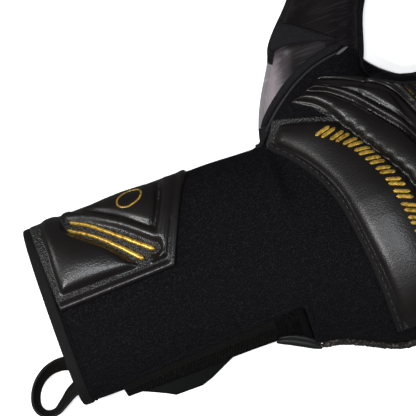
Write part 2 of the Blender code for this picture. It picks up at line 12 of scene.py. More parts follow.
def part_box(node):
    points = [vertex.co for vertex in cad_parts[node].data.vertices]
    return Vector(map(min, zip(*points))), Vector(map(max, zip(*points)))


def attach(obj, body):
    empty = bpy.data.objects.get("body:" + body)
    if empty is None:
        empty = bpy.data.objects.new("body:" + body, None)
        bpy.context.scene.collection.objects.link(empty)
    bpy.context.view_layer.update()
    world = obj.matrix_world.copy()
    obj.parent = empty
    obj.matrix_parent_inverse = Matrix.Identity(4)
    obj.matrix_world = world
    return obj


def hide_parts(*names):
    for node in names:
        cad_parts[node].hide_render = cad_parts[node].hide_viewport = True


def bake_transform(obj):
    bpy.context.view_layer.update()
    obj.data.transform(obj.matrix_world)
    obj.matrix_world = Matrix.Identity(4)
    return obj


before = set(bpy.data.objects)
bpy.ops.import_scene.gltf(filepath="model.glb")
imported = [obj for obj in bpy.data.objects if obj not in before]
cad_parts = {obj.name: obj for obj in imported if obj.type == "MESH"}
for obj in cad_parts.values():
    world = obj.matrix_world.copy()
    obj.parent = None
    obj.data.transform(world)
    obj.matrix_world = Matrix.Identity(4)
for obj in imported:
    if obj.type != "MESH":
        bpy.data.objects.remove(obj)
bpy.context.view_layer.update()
MM = 0.001


def low_of(part):
    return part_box(part)[0] / MM


def high_of(part):
    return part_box(part)[1] / MM


# ---------------------------------------------------------------- the view, the light and the table
# The glove lies on a plain white table under four soft lamps, with the cuff to the lower left. The camera hangs
# nearly straight above it, a little to the little finger's side.

LOOK_AT = Vector((-27.6, 18.3, 35.0))
CAMERA_LEAN = 8.0
CAMERA_TURN = 20.0
LENS = 180.0
SENSOR = 36.0
VIEW_WIDTH = 174.7

camera = bpy.data.objects.new("camera", bpy.data.cameras.new("camera"))
bpy.context.scene.collection.objects.link(camera)
bpy.context.scene.camera = camera
camera.data.lens = LENS
camera.data.sensor_width = SENSOR
camera.data.clip_end = 20.0
lean = math.radians(CAMERA_LEAN)
turn = math.radians(CAMERA_TURN)
camera_back = Vector((0, -math.sin(lean), math.cos(lean)))
camera_right = Vector((math.cos(turn), -math.sin(turn) * math.cos(lean), -math.sin(turn) * math.sin(lean))).normalized()
camera_up = camera_back.cross(camera_right)
camera.matrix_world = Matrix.Translation((LOOK_AT + camera_back * VIEW_WIDTH * LENS / SENSOR) * MM) @ Matrix(
    (camera_right, camera_up, camera_back)).transposed().to_4x4()


def lamp(name, place, size, power, aim=(0, 0, 30), colour=(1, 1, 1)):
    made = bpy.data.objects.new(name, bpy.data.lights.new(name, "AREA"))
    bpy.context.scene.collection.objects.link(made)
    made.data.shape = "RECTANGLE"
    made.data.size, made.data.size_y = (side * MM for side in size)
    made.data.energy = power
    made.data.color = colour
    made.location = Vector(place) * MM
    made.rotation_mode = "QUATERNION"
    made.rotation_quaternion = (made.location - Vector(aim) * MM).to_track_quat("Z", "Y")


lamp("key_lamp", (-440, -60, 690), (110, 170), 4.6)
lamp("over_lamp", (-50, -62, 840), (130, 120), 2.5, colour=(0.92, 0.96, 1.0))
lamp("side_lamp", (560, -330, 470), (140, 240), 1.8, colour=(0.84, 0.91, 1.0))
lamp("outer_lamp", (-640, 330, 330), (160, 320), 1.2)
bpy.context.scene.view_settings.view_transform = "Standard"

STUDIO_FILL = 0.10
world = bpy.data.worlds.new("studio")
bpy.context.scene.world = world
world.use_nodes = True
studio_walls = world.node_tree.nodes["Background"]
studio_walls.inputs["Color"].default_value = (1.0, 1.0, 1.0, 1.0)
studio_walls.inputs["Strength"].default_value = STUDIO_FILL


def plain(name, colour, roughness, metallic=0.0, coat=0.0, coat_roughness=0.1):
    """A material whose shader's values are given, for other nodes to be joined to."""
    made = bpy.data.materials.new(name)
    made.use_nodes = True
    shader = made.node_tree.nodes["Principled BSDF"]
    shader.inputs["Base Color"].default_value = (*colour, 1.0)
    shader.inputs["Roughness"].default_value = roughness
    shader.inputs["Metallic"].default_value = metallic
    shader.inputs["Coat Weight"].default_value = coat
    shader.inputs["Coat Roughness"].default_value = coat_roughness
    return made


TABLE_HALF = 4000.0
TABLE_GAP = 0.3
TABLE_GLOW = 0.55
table_mesh = bpy.data.meshes.new("table")
table_mesh.from_pydata([(x * TABLE_HALF * MM, y * TABLE_HALF * MM, 0) for x, y in ((-1, -1), (1, -1), (1, 1), (-1, 1))],
                       [], [(0, 1, 2, 3)])
table = bpy.data.objects.new("table", table_mesh)
bpy.context.scene.collection.objects.link(table)
table_white = plain("table_white", (0.93, 0.93, 0.93), 0.9)
table_shader = table_white.node_tree.nodes["Principled BSDF"]
table_shader.inputs["Emission Color"].default_value = (1, 1, 1, 1)
table_shader.inputs["Emission Strength"].default_value = TABLE_GLOW
table_mesh.materials.append(table_white)
table.location.z = -TABLE_GAP * MM
table.visible_glossy = False

# ---------------------------------------------------------------- the glove's form
# Every sheet of the glove is sewn to take one shape, that of a flat hand with its thumb out. The hand, the thumb
# and the fingers are lofted as closed volumes here, melted into one, and the sheets are cut out of its surface.

KNUCKLE_X = high_of("back_panel").x
HAND_TOP = high_of("back_panel").z
SEAM_Z = high_of("palm_latex").z
FINGER_TOP = high_of("middle_tip_back").z
HINGE_Z = 7.0
CUFF_FLOOR = 6.0
HEEL_X = low_of("palm_latex").x
MOUND_Y = 38.5
MOUND_MIDDLE, MOUND_HALF, MOUND_TOP = 35.5, 30.5, 34.0
CUFF_RIM, RIM_FALL = 20.0, 25.0
HEEL_RAMP = 18.0
THUMB_JOINT = Vector((38.0, 67.0))
THUMB_TURN = math.radians(59.0)
THUMB_AHEAD = Vector((math.cos(THUMB_TURN), math.sin(THUMB_TURN)))
THUMB_ASIDE = Vector((THUMB_AHEAD.y, -THUMB_AHEAD.x))
THUMB_MIDDLE, THUMB_LENGTH = 27.0, 60.0
THUMB_ROOT_REACH = 28.3
THUMB_HALVES = [(0, 19.0), (THUMB_MIDDLE, 14.5), (THUMB_LENGTH, 13.8)]
LITTLE_SIDE = [(-125, -40), (-87, -40), (-50, -39.3), (-22, -40.5), (0, -50), (35, -62), (75, -67.5), (110, -66)]
THUMB_SIDE = [(-125, 37.6), (-60, 38.2), (-20, 38.5), (46, 38.5), (58, 49.8), (62, 49.8), (70, 45.6), (76, 44.0),
              (85, 45), (110, 44)]
CROWN = [(-125, 37.5), (-40, 37.5), (20, HAND_TOP), (66, HAND_TOP), (92, 37), (110, 27)]
FINGERS = {
    "index": dict(y=31.0, half=13.2, length=68.0, middle=29.0, slope=0.06),
    "middle": dict(y=2.8, half=13.4, length=77.0, middle=32.0, slope=0.0),
    "ring": dict(y=-25.5, half=13.2, length=70.0, middle=30.0, slope=-0.05),
    "little": dict(y=-53.5, half=12.3, length=52.0, middle=23.0, slope=-0.13),
}
FINGER_ROOT = 99.0
ARCH_STEPS, ARCH_SQUARE, MOUND_SQUARE = 32, 2.6, 2.6
END_FROM, END_RAMP, END_SQUEEZE = 98, 12, 0.05
TIP_MIDDLE = 12.0
VOXEL = 1.25
SOFTEN = 5


def smooth(t):
    t = min(max(t, 0.0), 1.0)
    return t * t * (3 - 2 * t)


def between(stations, x):
    """A smooth curve through (x, value) pairs, level outside them."""
    if x <= stations[0][0]:
        return stations[0][1]
    for (x0, v0), (x1, v1) in zip(stations, stations[1:]):
        if x <= x1:
            return v0 + (v1 - v0) * smooth((x - x0) / (x1 - x0))
    return stations[-1][1]


def span(low, high, count):
    return [low + (high - low) * i / count for i in range(count + 1)]


def ring(half, left_rim, right_rim, top, floor, corner, open_share=0.0):
    """A closed cross-section, as (across, height): an arch above its rims and a tray below them."""
    found = []
    for i in range(ARCH_STEPS + 1):
        angle = math.pi * i / ARCH_STEPS
        way = -math.cos(angle)
        share = abs(way) ** (2 / ARCH_SQUARE)
        rise = math.sin(angle)
        if way > 0:
            rise += ((1 + math.cos(math.pi * share)) / 2 - rise) * open_share
        rim = left_rim if way < 0 else right_rim
        found.append((math.copysign(half * share, way), rim + (top - rim) * rise))
    side = []
    for i in range(7):
        angle = math.radians(15 * i)
        side.append((half - corner * (1 - math.cos(angle)), floor + corner * (1 - math.sin(angle))))
    side += [((half - corner) * share, floor) for share in (0.7, 0.4, 0.1)]
    return found + side + [(-across, up) for across, up in side[::-1]]


def loft(made, rings):
    """Adds a closed volume through rings of points to a mesh, and gives back the faces between the rings."""
    rows = [[made.verts.new(Vector(p) * MM) for p in row] for row in rings]
    count = len(rows[0])
    walls = []
    for a, b in zip(rows, rows[1:]):
        for j in range(count):
            k = (j + 1) % count
            walls.append(made.faces.new((a[j], a[k], b[k], b[j])))
    made.faces.new(rows[0][::-1])
    made.faces.new(rows[-1])
    return walls


def hand_rings():
    rows = []
    for x in span(-118, 108, 80) + [110]:
        low, high = between(LITTLE_SIDE, x), between(THUMB_SIDE, x)
        rim = CUFF_RIM + (SEAM_Z - CUFF_RIM) * smooth((x + RIM_FALL) / RIM_FALL)
        share = min(abs(x - MOUND_MIDDLE) / MOUND_HALF, 1.0)
        open_share = (1 - share**MOUND_SQUARE) ** 0.5
        floor = CUFF_FLOOR * (1 - smooth((x - HEEL_X + HEEL_RAMP) / HEEL_RAMP))
        shrink = 1 - END_SQUEEZE * smooth((x - END_FROM) / END_RAMP)
        row = ring((high - low) / 2 * shrink, rim, rim + (MOUND_TOP - rim) * open_share, between(CROWN, x), floor, 9.0,
                   open_share)
        rows.append([(x, (low + high) / 2 + across, up) for across, up in row])
    return rows


def digit_rings(root, length, half_at, top_at, place, corner, tip_half):
    """Rings of a finger or thumb, whose tip rounds off in plan and in height."""
    rows = []
    last = length - tip_half
    ends = [(along, 1.0) for along in span(root, last, 22)]
    ends += [(last + tip_half * math.sin(math.radians(angle)), math.cos(math.radians(angle)))
             for angle in (14, 28, 42, 54, 65, 74, 81, 86)]
    for along, share in ends:
        half = half_at(min(along, last)) * max(share, 0.05) ** 0.92
        squeeze = share**0.62
        top = TIP_MIDDLE + (top_at(along) - TIP_MIDDLE) * squeeze
        row = ring(half, SEAM_Z, SEAM_Z, top, TIP_MIDDLE * (1 - squeeze), corner * share)
        rows.append([place(along, across, max(up, 0.0)) for across, up in row])
    return rows


def thumb_place(along, across, up):
    """A place beside the thumb's axis; before its base joint the axis swings round to the hand."""
    if along >= 0:
        spot = THUMB_JOINT + THUMB_AHEAD * along + THUMB_ASIDE * across
        return (spot.x, spot.y, up)
    root = Vector((MOUND_MIDDLE, MOUND_Y))
    share = 1 + along / (THUMB_JOINT - root).length
    angle = math.pi / 2 + (THUMB_TURN - math.pi / 2) * smooth(share)
    centre = root + (THUMB_JOINT - root) * share
    spot = centre + Vector((math.sin(angle), -math.cos(angle))) * across
    return (spot.x, spot.y, up)


def thumb_half(along):
    if along < 0:
        return MOUND_HALF + (THUMB_HALVES[0][1] - MOUND_HALF) * smooth(1 + along / THUMB_ROOT_REACH)
    return between(THUMB_HALVES, along)


def thumb_top(along):
    return between([(-36, MOUND_TOP), (0, 29.0), (THUMB_MIDDLE, 28.0)], along)


def finger_place(size):
    return lambda along, across, up: (KNUCKLE_X + along, size["y"] + size["slope"] * along + across, up)


def finger_top(along):
    return FINGER_TOP - 1.5 * smooth((along - 20) / 50)


raw = bmesh.new()
loft(raw, hand_rings())
loft(raw, digit_rings(-38, THUMB_LENGTH, thumb_half, thumb_top, thumb_place, 7.5, 13.5))
for size in FINGERS.values():
    def finger_half(along, size=size):
        return size["half"] - 0.9 * smooth(along / size["length"])

    loft(raw, digit_rings(-22, size["length"], finger_half, finger_top, finger_place(size), 6.5, size["half"]))
bmesh.ops.recalc_face_normals(raw, faces=raw.faces)


def mesh_object(name, made):
    mesh = bpy.data.meshes.new(name)
    made.to_mesh(mesh)
    made.free()
    found = bpy.data.objects.new(name, mesh)
    bpy.context.scene.collection.objects.link(found)
    return found


def settled(piece):
    """The piece with its modifiers turned into mesh."""
    seen = piece.evaluated_get(bpy.context.evaluated_depsgraph_get())
    mesh = bpy.data.meshes.new_from_object(seen)
    old = piece.data
    piece.modifiers.clear()
    piece.data = mesh
    mesh.name = piece.name
    bpy.data.meshes.remove(old)
    return piece


melt = mesh_object("glove_form", raw)
remesh = melt.modifiers.new("melt", "REMESH")
remesh.mode = "VOXEL"
remesh.voxel_size = VOXEL * MM
soften = melt.modifiers.new("soften", "SMOOTH")
soften.factor, soften.iterations = 0.5, SOFTEN
settled(melt)
form = bmesh.new()
form.from_mesh(melt.data)
bpy.data.objects.remove(melt, do_unlink=True)
skin_tree = BVHTree.FromBMesh(form)

# Where the sheets part: plan lines and heights that the form is cut along before they are taken out of it.
CUFF_CUT = -102.5
SLIT_FROM, SLIT_END = -87.0, -4.0
SLIT_LOW = 9.5
LIP = [(-104, -39.4), (SLIT_FROM, -38.6), (-50, -35.8), (SLIT_END, -33.6)]
THUMB_SPLIT = 13.5
THUMB_WELT = [(-4, 36), (3.6, 42.4), (9.6, 48.2), (15.8, 53.1), (24.2, 58.5), (33.9, 62.9), (43.7, 65.4), (51, 65),
              (59, 61), (70, 60)]


def lip_at(x):
    return float(np.interp(x, [p[0] for p in LIP], [p[1] for p in LIP]))


def plane(at, facing):
    bmesh.ops.bisect_plane(form, geom=form.verts[:] + form.edges[:] + form.faces[:], dist=1e-6,
                           plane_co=Vector(at) * MM, plane_no=Vector(facing))


for height in (SEAM_Z, SLIT_LOW):
    plane((0, 0, height), (0, 0, 1))
for x in (CUFF_CUT, SLIT_FROM, SLIT_END, HEEL_X, FINGER_ROOT):
    plane((x, 0, 0), (1, 0, 0))
for (x0, y0), (x1, y1) in zip(LIP[1:], LIP[2:]):
    plane((x0, y0, 0), (y0 - y1, x1 - x0, 0))
plane((*(THUMB_JOINT + THUMB_AHEAD * THUMB_SPLIT), 0), (*THUMB_AHEAD, 0))
names = list(FINGERS)
crotches = []
for first, second in zip(names, names[1:]):
    a, b = FINGERS[first], FINGERS[second]
    at = Vector((KNUCKLE_X, (a["y"] - a["half"] + b["y"] + b["half"]) / 2, 0))
    facing = Vector((-(a["slope"] + b["slope"]) / 2, 1, 0))
    crotches.append((at, facing))
    plane(at, facing)
for size in FINGERS.values():
    plane((KNUCKLE_X + size["middle"] / 2, 0, 0), (1, 0, 0))


def part_of(c):
    """Which part of the glove a point of the form is in."""
    spot = Vector((c.x, c.y))
    along = (spot - THUMB_JOINT).dot(THUMB_AHEAD)
    if -3 < c.x < 92 and c.y > np.interp(c.x, [p[0] for p in THUMB_WELT], [p[1] for p in THUMB_WELT]):
        return "thumb_base" if along < THUMB_SPLIT else "thumb_tip"
    if c.x < FINGER_ROOT:
        return "hand" if c.x > CUFF_CUT else "past the cuff"
    order = sum((c - at).dot(facing) < 0 for at, facing in crotches)
    name = names[order]
    return f"{name}_base" if c.x < KNUCKLE_X + FINGERS[name]["middle"] / 2 else f"{name}_tip"


def level_of(c):
    """Whether a point is in the back, in the slit's stretch of the cuff, in the underside or in the latex."""
    if SLIT_FROM < c.x < SLIT_END and c.y < lip_at(c.x) and c.z > SLIT_LOW:
        return "slit"
    if c.x < HEEL_X:
        return "back" if c.z > SEAM_Z else "cuff_under"
    return "back" if c.z > SEAM_Z else "latex"


sheets = {}
for face in form.faces:
    centre = face.calc_center_median() / MM
    sheets.setdefault((part_of(centre), level_of(centre)), set()).add(face.index)
form.normal_update()


ROLL_FADE = 9.0


def cut_sheet(name, part, level, thick, lift=0.0, roll=None):
    """A sheet of the form's surface with a thickness, inward. roll = (low, high, push) swells it between heights."""
    made = form.copy()
    made.faces.ensure_lookup_table()
    keep = sheets[(part, level)]
    bmesh.ops.delete(made, geom=[f for f in made.faces if f.index not in keep], context="FACES")
    made.normal_update()
    for vertex in made.verts:
        push = lift
        if roll:
            share = (vertex.co.z / MM - roll[0]) / (roll[1] - roll[0])
            if 0 < share <= 1.001:
                start = smooth((vertex.co.x / MM - HEEL_X) / ROLL_FADE)
                push += roll[2] * start * math.sin(math.pi * min(share, 1.0) ** 1.6 * 0.62) ** 2
        vertex.co += vertex.normal * push * MM
    piece = mesh_object(name, made)
    wall = piece.modifiers.new("wall", "SOLIDIFY")
    wall.thickness = thick * MM
    wall.offset = -1
    return dressed(settled(piece))


def dressed(piece, finish=None, angle=48):
    """The piece with smooth shading, edges sharper than angle kept sharp, and its finish."""
    piece.data.shade_smooth()
    piece.data.set_sharp_from_angle(angle=math.radians(angle))
    if finish:
        piece.data.materials.clear()
        piece.data.materials.append(finish)
    return piece


def closed_piece(name, made, finish=None, angle=70):
    """A finished object from a closed mesh, with its faces turned outward."""
    bmesh.ops.recalc_face_normals(made, faces=made.faces)
    return dressed(mesh_object(name, made), finish, angle)


# ---------------------------------------------------------------- the back and the cuff
# One sheet of jersey-faced neoprene makes the cuff and the back of the hand, and narrower ones the backs of the
# fingers. It is matt, very dark and slightly speckled with lint, and 2.6 mm thick, with a thin knitted lining.

NEOPRENE_WALL = 2.6
NEOPRENE_DARK = (0.0014, 0.0011, 0.0016)
NEOPRENE_LINT = (0.016, 0.014, 0.017)


def group(name, inputs, outputs):
    """An empty node group with float or vector sockets."""
    made = bpy.data.node_groups.new(name, "ShaderNodeTree")
    for label, kind, value in inputs:
        socket = made.interface.new_socket(label, in_out="INPUT", socket_type=kind)
        if value is not None:
            socket.default_value = value
    for label, kind in outputs:
        made.interface.new_socket(label, in_out="OUTPUT", socket_type=kind)
    return made, made.nodes.new("NodeGroupInput"), made.nodes.new("NodeGroupOutput")


def wire(tree, *pairs):
    for source, target in pairs:
        tree.links.new(source, target)


def node(tree, kind, values=None, **settings):
    """Adds a shader node with its settings, then the values of its sockets."""
    made = tree.nodes.new("ShaderNode" + kind)
    for setting, value in settings.items():
        setattr(made, setting, value)
    for socket, value in (values or {}).items():
        made.inputs[socket].default_value = value
    return made


def ramp_node(tree, stops):
    """Adds a colour ramp through (position, colour) stops."""
    made = node(tree, "ValToRGB")
    elements = made.color_ramp.elements
    (elements[0].position, first), (elements[1].position, last) = stops[0], stops[-1]
    elements[0].color, elements[1].color = (*first, 1), (*last, 1)
    for position, colour in stops[1:-1]:
        elements.new(position).color = (*colour, 1)
    return made


def speckle_group():
    """Fine lint and knit: a mask of pale specks, a soft cloudiness, and a height for the surface."""
    made, entry, leave = group(
        "knit_speckle", [("Scale", "NodeSocketFloat", 2600.0), ("Specks", "NodeSocketFloat", 0.5)],
        [("Specks", "NodeSocketFloat"), ("Clouds", "NodeSocketFloat"), ("Height", "NodeSocketFloat")])
    place = node(made, "TexCoord")
    fine = node(made, "TexNoise", {"Detail": 3.0})
    clouds = node(made, "TexNoise", {"Scale": 60.0})
    knit = node(made, "TexVoronoi")
    mask = node(made, "MapRange", {"From Min": 0.52, "From Max": 0.72})
    share = node(made, "Math", operation="MULTIPLY")
    both = node(made, "Math", operation="ADD")
    wire(made, (place.outputs["Object"], fine.inputs["Vector"]), (place.outputs["Object"], clouds.inputs["Vector"]),
         (place.outputs["Object"], knit.inputs["Vector"]), (entry.outputs["Scale"], fine.inputs["Scale"]),
         (entry.outputs["Scale"], knit.inputs["Scale"]), (fine.outputs["Fac"], mask.inputs["Value"]),
         (mask.outputs["Result"], share.inputs[0]), (entry.outputs["Specks"], share.inputs[1]),
         (fine.outputs["Fac"], both.inputs[0]), (knit.outputs["Distance"], both.inputs[1]),
         (share.outputs["Value"], leave.inputs["Specks"]), (clouds.outputs["Fac"], leave.inputs["Clouds"]),
         (both.outputs["Value"], leave.inputs["Height"]))
    return made


SPECKLE = speckle_group()


def cloth(name, dark, light, scale=2600.0, specks=0.5, roughness=0.85, bump=0.25, depth=0.00025, sheen=0.0,
          specular=0.12):
    """A matt cloth: dark yarn with pale lint, and a fine knit in its surface."""
    made = plain(name, dark, roughness)
    tree = made.node_tree
    shader = tree.nodes["Principled BSDF"]
    shader.inputs["Sheen Weight"].default_value = sheen
    shader.inputs["Specular IOR Level"].default_value = specular
    knit = node(tree, "Group", {"Scale": scale, "Specks": specks}, node_tree=SPECKLE)
    mix = node(tree, "Mix", {"A": (*dark, 1), "B": (*light, 1)}, data_type="RGBA")
    relief = node(tree, "Bump", {"Strength": bump, "Distance": depth})
    wire(tree, (knit.outputs["Specks"], mix.inputs["Factor"]), (mix.outputs["Result"], shader.inputs["Base Color"]),
         (knit.outputs["Height"], relief.inputs["Height"]), (relief.outputs["Normal"], shader.inputs["Normal"]))
    return made


neoprene = cloth("neoprene", NEOPRENE_DARK, NEOPRENE_LINT, scale=2100.0, specks=1.0, bump=0.4, specular=0.09)
back_skin = dressed(cut_sheet("back_skin", "hand", "back", NEOPRENE_WALL), neoprene)
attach(back_skin, "hand")
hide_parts("back_panel", "thumb_mound_back")

lining = dressed(cut_sheet("lining_skin", "hand", "back", 0.7, lift=-NEOPRENE_WALL - 0.15),
                 cloth("lining_knit", (0.02, 0.02, 0.021), (0.06, 0.06, 0.062), scale=2000.0, bump=0.6))
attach(lining, "hand")
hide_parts("back_lining")

cuff_under = dressed(cut_sheet("cuff_underside", "hand", "cuff_under", NEOPRENE_WALL), neoprene)
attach(cuff_under, "hand")
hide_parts("cuff_under_panel")

# ---------------------------------------------------------------- the palm
# A flat sheet of cellular latex foam, with a cut edge that swells out past the seam all round the hand. It is
# dark grey, rough and slightly pale where it has been cut.

LATEX_WALL = 4.0
LATEX_ROLL = (SEAM_Z - 5.0, SEAM_Z, 2.2)
latex = cloth("latex_foam", (0.014, 0.013, 0.014), (0.055, 0.050, 0.046), scale=1500.0, specks=0.35, roughness=0.8,
              bump=0.5, depth=0.0004)
palm_skin = dressed(cut_sheet("palm_skin", "hand", "latex", LATEX_WALL, roll=LATEX_ROLL), latex)
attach(palm_skin, "hand")
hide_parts("palm_latex", "thumb_mound_latex")

# ---------------------------------------------------------------- the fingers and the thumb
# Each one is a back sheet sewn to a latex sheet at mid height. The digit bends at its two joints, whose places are
# worked out here; each sheet is made in two stretches that meet halfway along the first bone.

THUMB_BEND = 12.0
digit_blends = {}
for name, size in FINGERS.items():
    reach = size["middle"] / 2 - 1.0
    for stretch, parent, joint in (("base", "hand", 0.0), ("tip", f"{name}_base", size["middle"])):
        at = [Vector(finger_place(size)(joint + side * reach, 0, HINGE_Z)) * MM for side in (-1, 1)]
        for vector in at:
            vector.y = at[0].y
        digit_blends[f"{name}_{stretch}"] = (parent, at)
for stretch, parent, joint in (("base", "hand", 0.0), ("tip", "thumb_base", THUMB_MIDDLE)):
    at = [Vector(thumb_place(0, 0, HINGE_Z)) + Vector((*THUMB_AHEAD, 0)) * (joint + side * THUMB_BEND)
          for side in (-1, 1)]
    digit_blends[f"thumb_{stretch}"] = (parent, [vector * MM for vector in at])


def bend(piece):
    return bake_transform(piece)


# Where the film's painted reflection lies: a way across the thumb, the span over which it fades in, the heights in y
# over which it fades out, and the turn of the streaks.
PAINTED_REFLECTION_WAY = (-0.92, 0.10, -0.37)
PAINTED_REFLECTION_FROM, PAINTED_REFLECTION_TO = -29.5, -13.5
PAINTED_REFLECTION_END = (70.0, 80.0)
STREAK_TURN = math.radians(-42)


def film_finish(name, roughness, coat, specular):
    """Latex under a clear glossy film: brown black, with diagonal streaks; low on the thumb's outer side a painted
    lilac grey reflection, its streaks painted glints, fades out towards the top.
    """
    made = plain(name, (0.03, 0.024, 0.027), roughness, coat=coat, coat_roughness=0.09)
    tree = made.node_tree
    shader = tree.nodes["Principled BSDF"]
    shader.inputs["Specular IOR Level"].default_value = specular
    place = node(tree, "TexCoord")
    # The lilac grey is painted reflection: a mask across the thumb's outer side, faded out past y 70 to 80 mm, lifts
    # the streaked colour to the ramp's pale top.
    side = node(tree, "VectorMath", {1: PAINTED_REFLECTION_WAY}, operation="DOT_PRODUCT")
    spread = node(tree, "MapRange", {"From Min": PAINTED_REFLECTION_FROM * MM, "From Max": PAINTED_REFLECTION_TO * MM})
    turned = node(tree, "Mapping", {"Rotation": (0.0, 0.0, STREAK_TURN), "Scale": (60.0, 1500.0, 300.0)})
    streak = node(tree, "TexNoise", {"Scale": 1.0, "Detail": 3.0})
    parts = node(tree, "SeparateXYZ")
    beyond = node(tree, "MapRange", {"From Min": PAINTED_REFLECTION_END[0] * MM, "From Max": PAINTED_REFLECTION_END[1] * MM, "To Min": 1.0,
                                     "To Max": 0.0})
    pale = node(tree, "Math", operation="MULTIPLY")
    both = node(tree, "Math", {1: 0.5}, operation="MULTIPLY_ADD")
    ramp = ramp_node(tree, [(0.26, (0.004, 0.0025, 0.003)), (0.62, (0.055, 0.044, 0.05)), (0.98, (0.25, 0.215, 0.232))])
    relief = node(tree, "Bump", {"Strength": 0.35, "Distance": 0.00012})
    wire(tree, (place.outputs["Object"], side.inputs[0]), (side.outputs["Value"], spread.inputs["Value"]),
         (place.outputs["Object"], turned.inputs["Vector"]), (turned.outputs["Vector"], streak.inputs["Vector"]),
         (streak.outputs["Fac"], both.inputs[0]), (spread.outputs["Result"], pale.inputs[0]),
         (place.outputs["Object"], parts.inputs["Vector"]), (parts.outputs["Y"], beyond.inputs["Value"]),
         (beyond.outputs["Result"], pale.inputs[1]), (pale.outputs["Value"], both.inputs[2]),
         (both.outputs["Value"], ramp.inputs["Fac"]), (ramp.outputs["Color"], shader.inputs["Base Color"]),
         (streak.outputs["Fac"], relief.inputs["Height"]), (relief.outputs["Normal"], shader.inputs["Normal"]))
    return made


film = film_finish("film_covered_latex", 0.32, 0.45, 0.5)
film_top = film_finish("film_covered_latex_top", 0.42, 0.10, 0.16)
# The film's cut edge: pale grey, partly its own translucent edge and partly a painted highlight.
film_edge_and_highlight = cloth("cut_film_edge_and_painted_highlight", (0.26, 0.25, 0.26), (0.46, 0.45, 0.46), scale=500.0, specks=0.6, roughness=0.3,
                 bump=0.2)
RIM_DEEP, RIM_END, TOP_FROM = 4.0, 30.0, 43.0


def beside_flap(c):
    """How far towards the thumb's tip a point is from the flap's line, in mm."""
    return c.y / MM - 69.0 - (48.0 - c.x / MM) * 0.15


for part in digit_blends:
    thumb = part.startswith("thumb")
    back = dressed(cut_sheet(f"{part}_back_skin", part, "back", NEOPRENE_WALL), film if thumb else neoprene)
    bend(back)
    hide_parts(*([f"{part}_back", "thumb_wrap_latex"] if part == "thumb_base" else [f"{part}_back"]))
    front = dressed(cut_sheet(f"{part}_latex_skin", part, "latex", LATEX_WALL, roll=LATEX_ROLL), latex)
    if thumb:
        front.data.materials.append(film_edge_and_highlight)
        back.data.materials.append(film_top)
        # The latex's upper band below the flap takes the pale edge with its painted highlight; the back past the flap
        # takes the duller film.
        for face in front.data.polygons:
            face.material_index = int(face.center.z > (SEAM_Z - RIM_DEEP) * MM and face.center.x < RIM_END * MM
                                       and beside_flap(face.center) < 0)
        for face in back.data.polygons:
            face.material_index = int(beside_flap(face.center) > 0 or face.center.x > TOP_FROM * MM)
    bend(front)
    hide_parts(f"{part}_latex")

# ---------------------------------------------------------------- the cuff pad
# A foam pad behind grained synthetic leather, hot pressed into pillows with sunken channels between them, and
# stitched to the cuff by its flat pebbled flange. It wraps from the crown of the cuff over the thumb's side.


def plan_spot(x, y):
    """Place and direction of the form's surface under a point in plan."""
    place, facing, _, _ = skin_tree.ray_cast(Vector((x, y, 90)) * MM, Vector((0, 0, -1)))
    if place is None:
        place, facing, _, _ = skin_tree.find_nearest(Vector((x, y, 20)) * MM)
    if facing.z < 0:
        facing = -facing
    return place / MM, facing


ROUND_HEIGHT = 17.0


def round_the_cuff(x, angle):
    """Place and direction of the cuff's surface, angle degrees down from its crown to the thumb's side."""
    way = Vector((0, math.sin(math.radians(angle)), math.cos(math.radians(angle))))
    place, facing, _, _ = skin_tree.ray_cast(Vector((x, 0, ROUND_HEIGHT)) * MM, way)
    if facing.dot(way) < 0:
        facing = -facing
    return place / MM, facing


round_angles = np.linspace(-14, 104, 90)
round_places = [round_the_cuff(-72.0, angle)[0] for angle in round_angles]
round_y = np.array([p.y for p in round_places])
round_lengths = np.concatenate([[0], np.cumsum([(b - a).length for a, b in zip(round_places, round_places[1:])])])
widest = int(np.argmax(round_y))


def unrolled(y):
    """Length round the cuff at which its surface is y across; past the widest point the rest is added as it is."""
    side = float(round_lengths[widest])
    if y < round_y[widest]:
        return float(np.interp(y, round_y[:widest + 1], round_lengths[:widest + 1]))
    return side + y - float(round_y[widest])


def unrolled_line(points):
    return [(x, unrolled(y)) for x, y in points]


def cuff_spot(x, length):
    return round_the_cuff(x, float(np.interp(length, round_lengths, round_angles)))


def curve_through(points, step=2.0):
    """A smooth line through points in plan, with a point every step."""
    p = [Vector(q) for q in points]
    p = [p[0] * 2 - p[1]] + p + [p[-1] * 2 - p[-2]]
    found = []
    for a, b, c, d in zip(p, p[1:], p[2:], p[3:]):
        count = max(int((c - b).length / step), 1)
        for i in range(count):
            t = i / count
            found.append(((2 * b) + (c - a) * t + (2 * a - 5 * b + 4 * c - d) * t * t
                          + (3 * b - a - 3 * c + d) * t * t * t) / 2)
    return found + [p[-2]]


def distance_to(line, x, y, closed=False):
    """Distance from each point to a line of points."""
    line = [(q[0], q[1]) for q in line]
    pairs = list(zip(line, line[1:] + line[:1])) if closed else list(zip(line, line[1:]))
    best = np.full(x.shape, 1e9)
    for (x0, y0), (x1, y1) in pairs:
        dx, dy = x1 - x0, y1 - y0
        t = np.clip(((x - x0) * dx + (y - y0) * dy) / max(dx * dx + dy * dy, 1e-9), 0, 1)
        best = np.minimum(best, np.hypot(x - x0 - t * dx, y - y0 - t * dy))
    return best


def depth_in(outline, x, y):
    """How far inside a closed outline each point is; negative outside it."""
    line = [(q[0], q[1]) for q in outline]
    inside = np.zeros(x.shape, bool)
    for (x0, y0), (x1, y1) in zip(line, line[1:] + line[:1]):
        if y0 == y1:
            continue
        crosses = (y0 > y) != (y1 > y)
        inside ^= crosses & (x < (x1 - x0) * (y - y0) / (y1 - y0) + x0)
    found = distance_to(line, x, y, closed=True)
    return np.where(inside, found, -found)


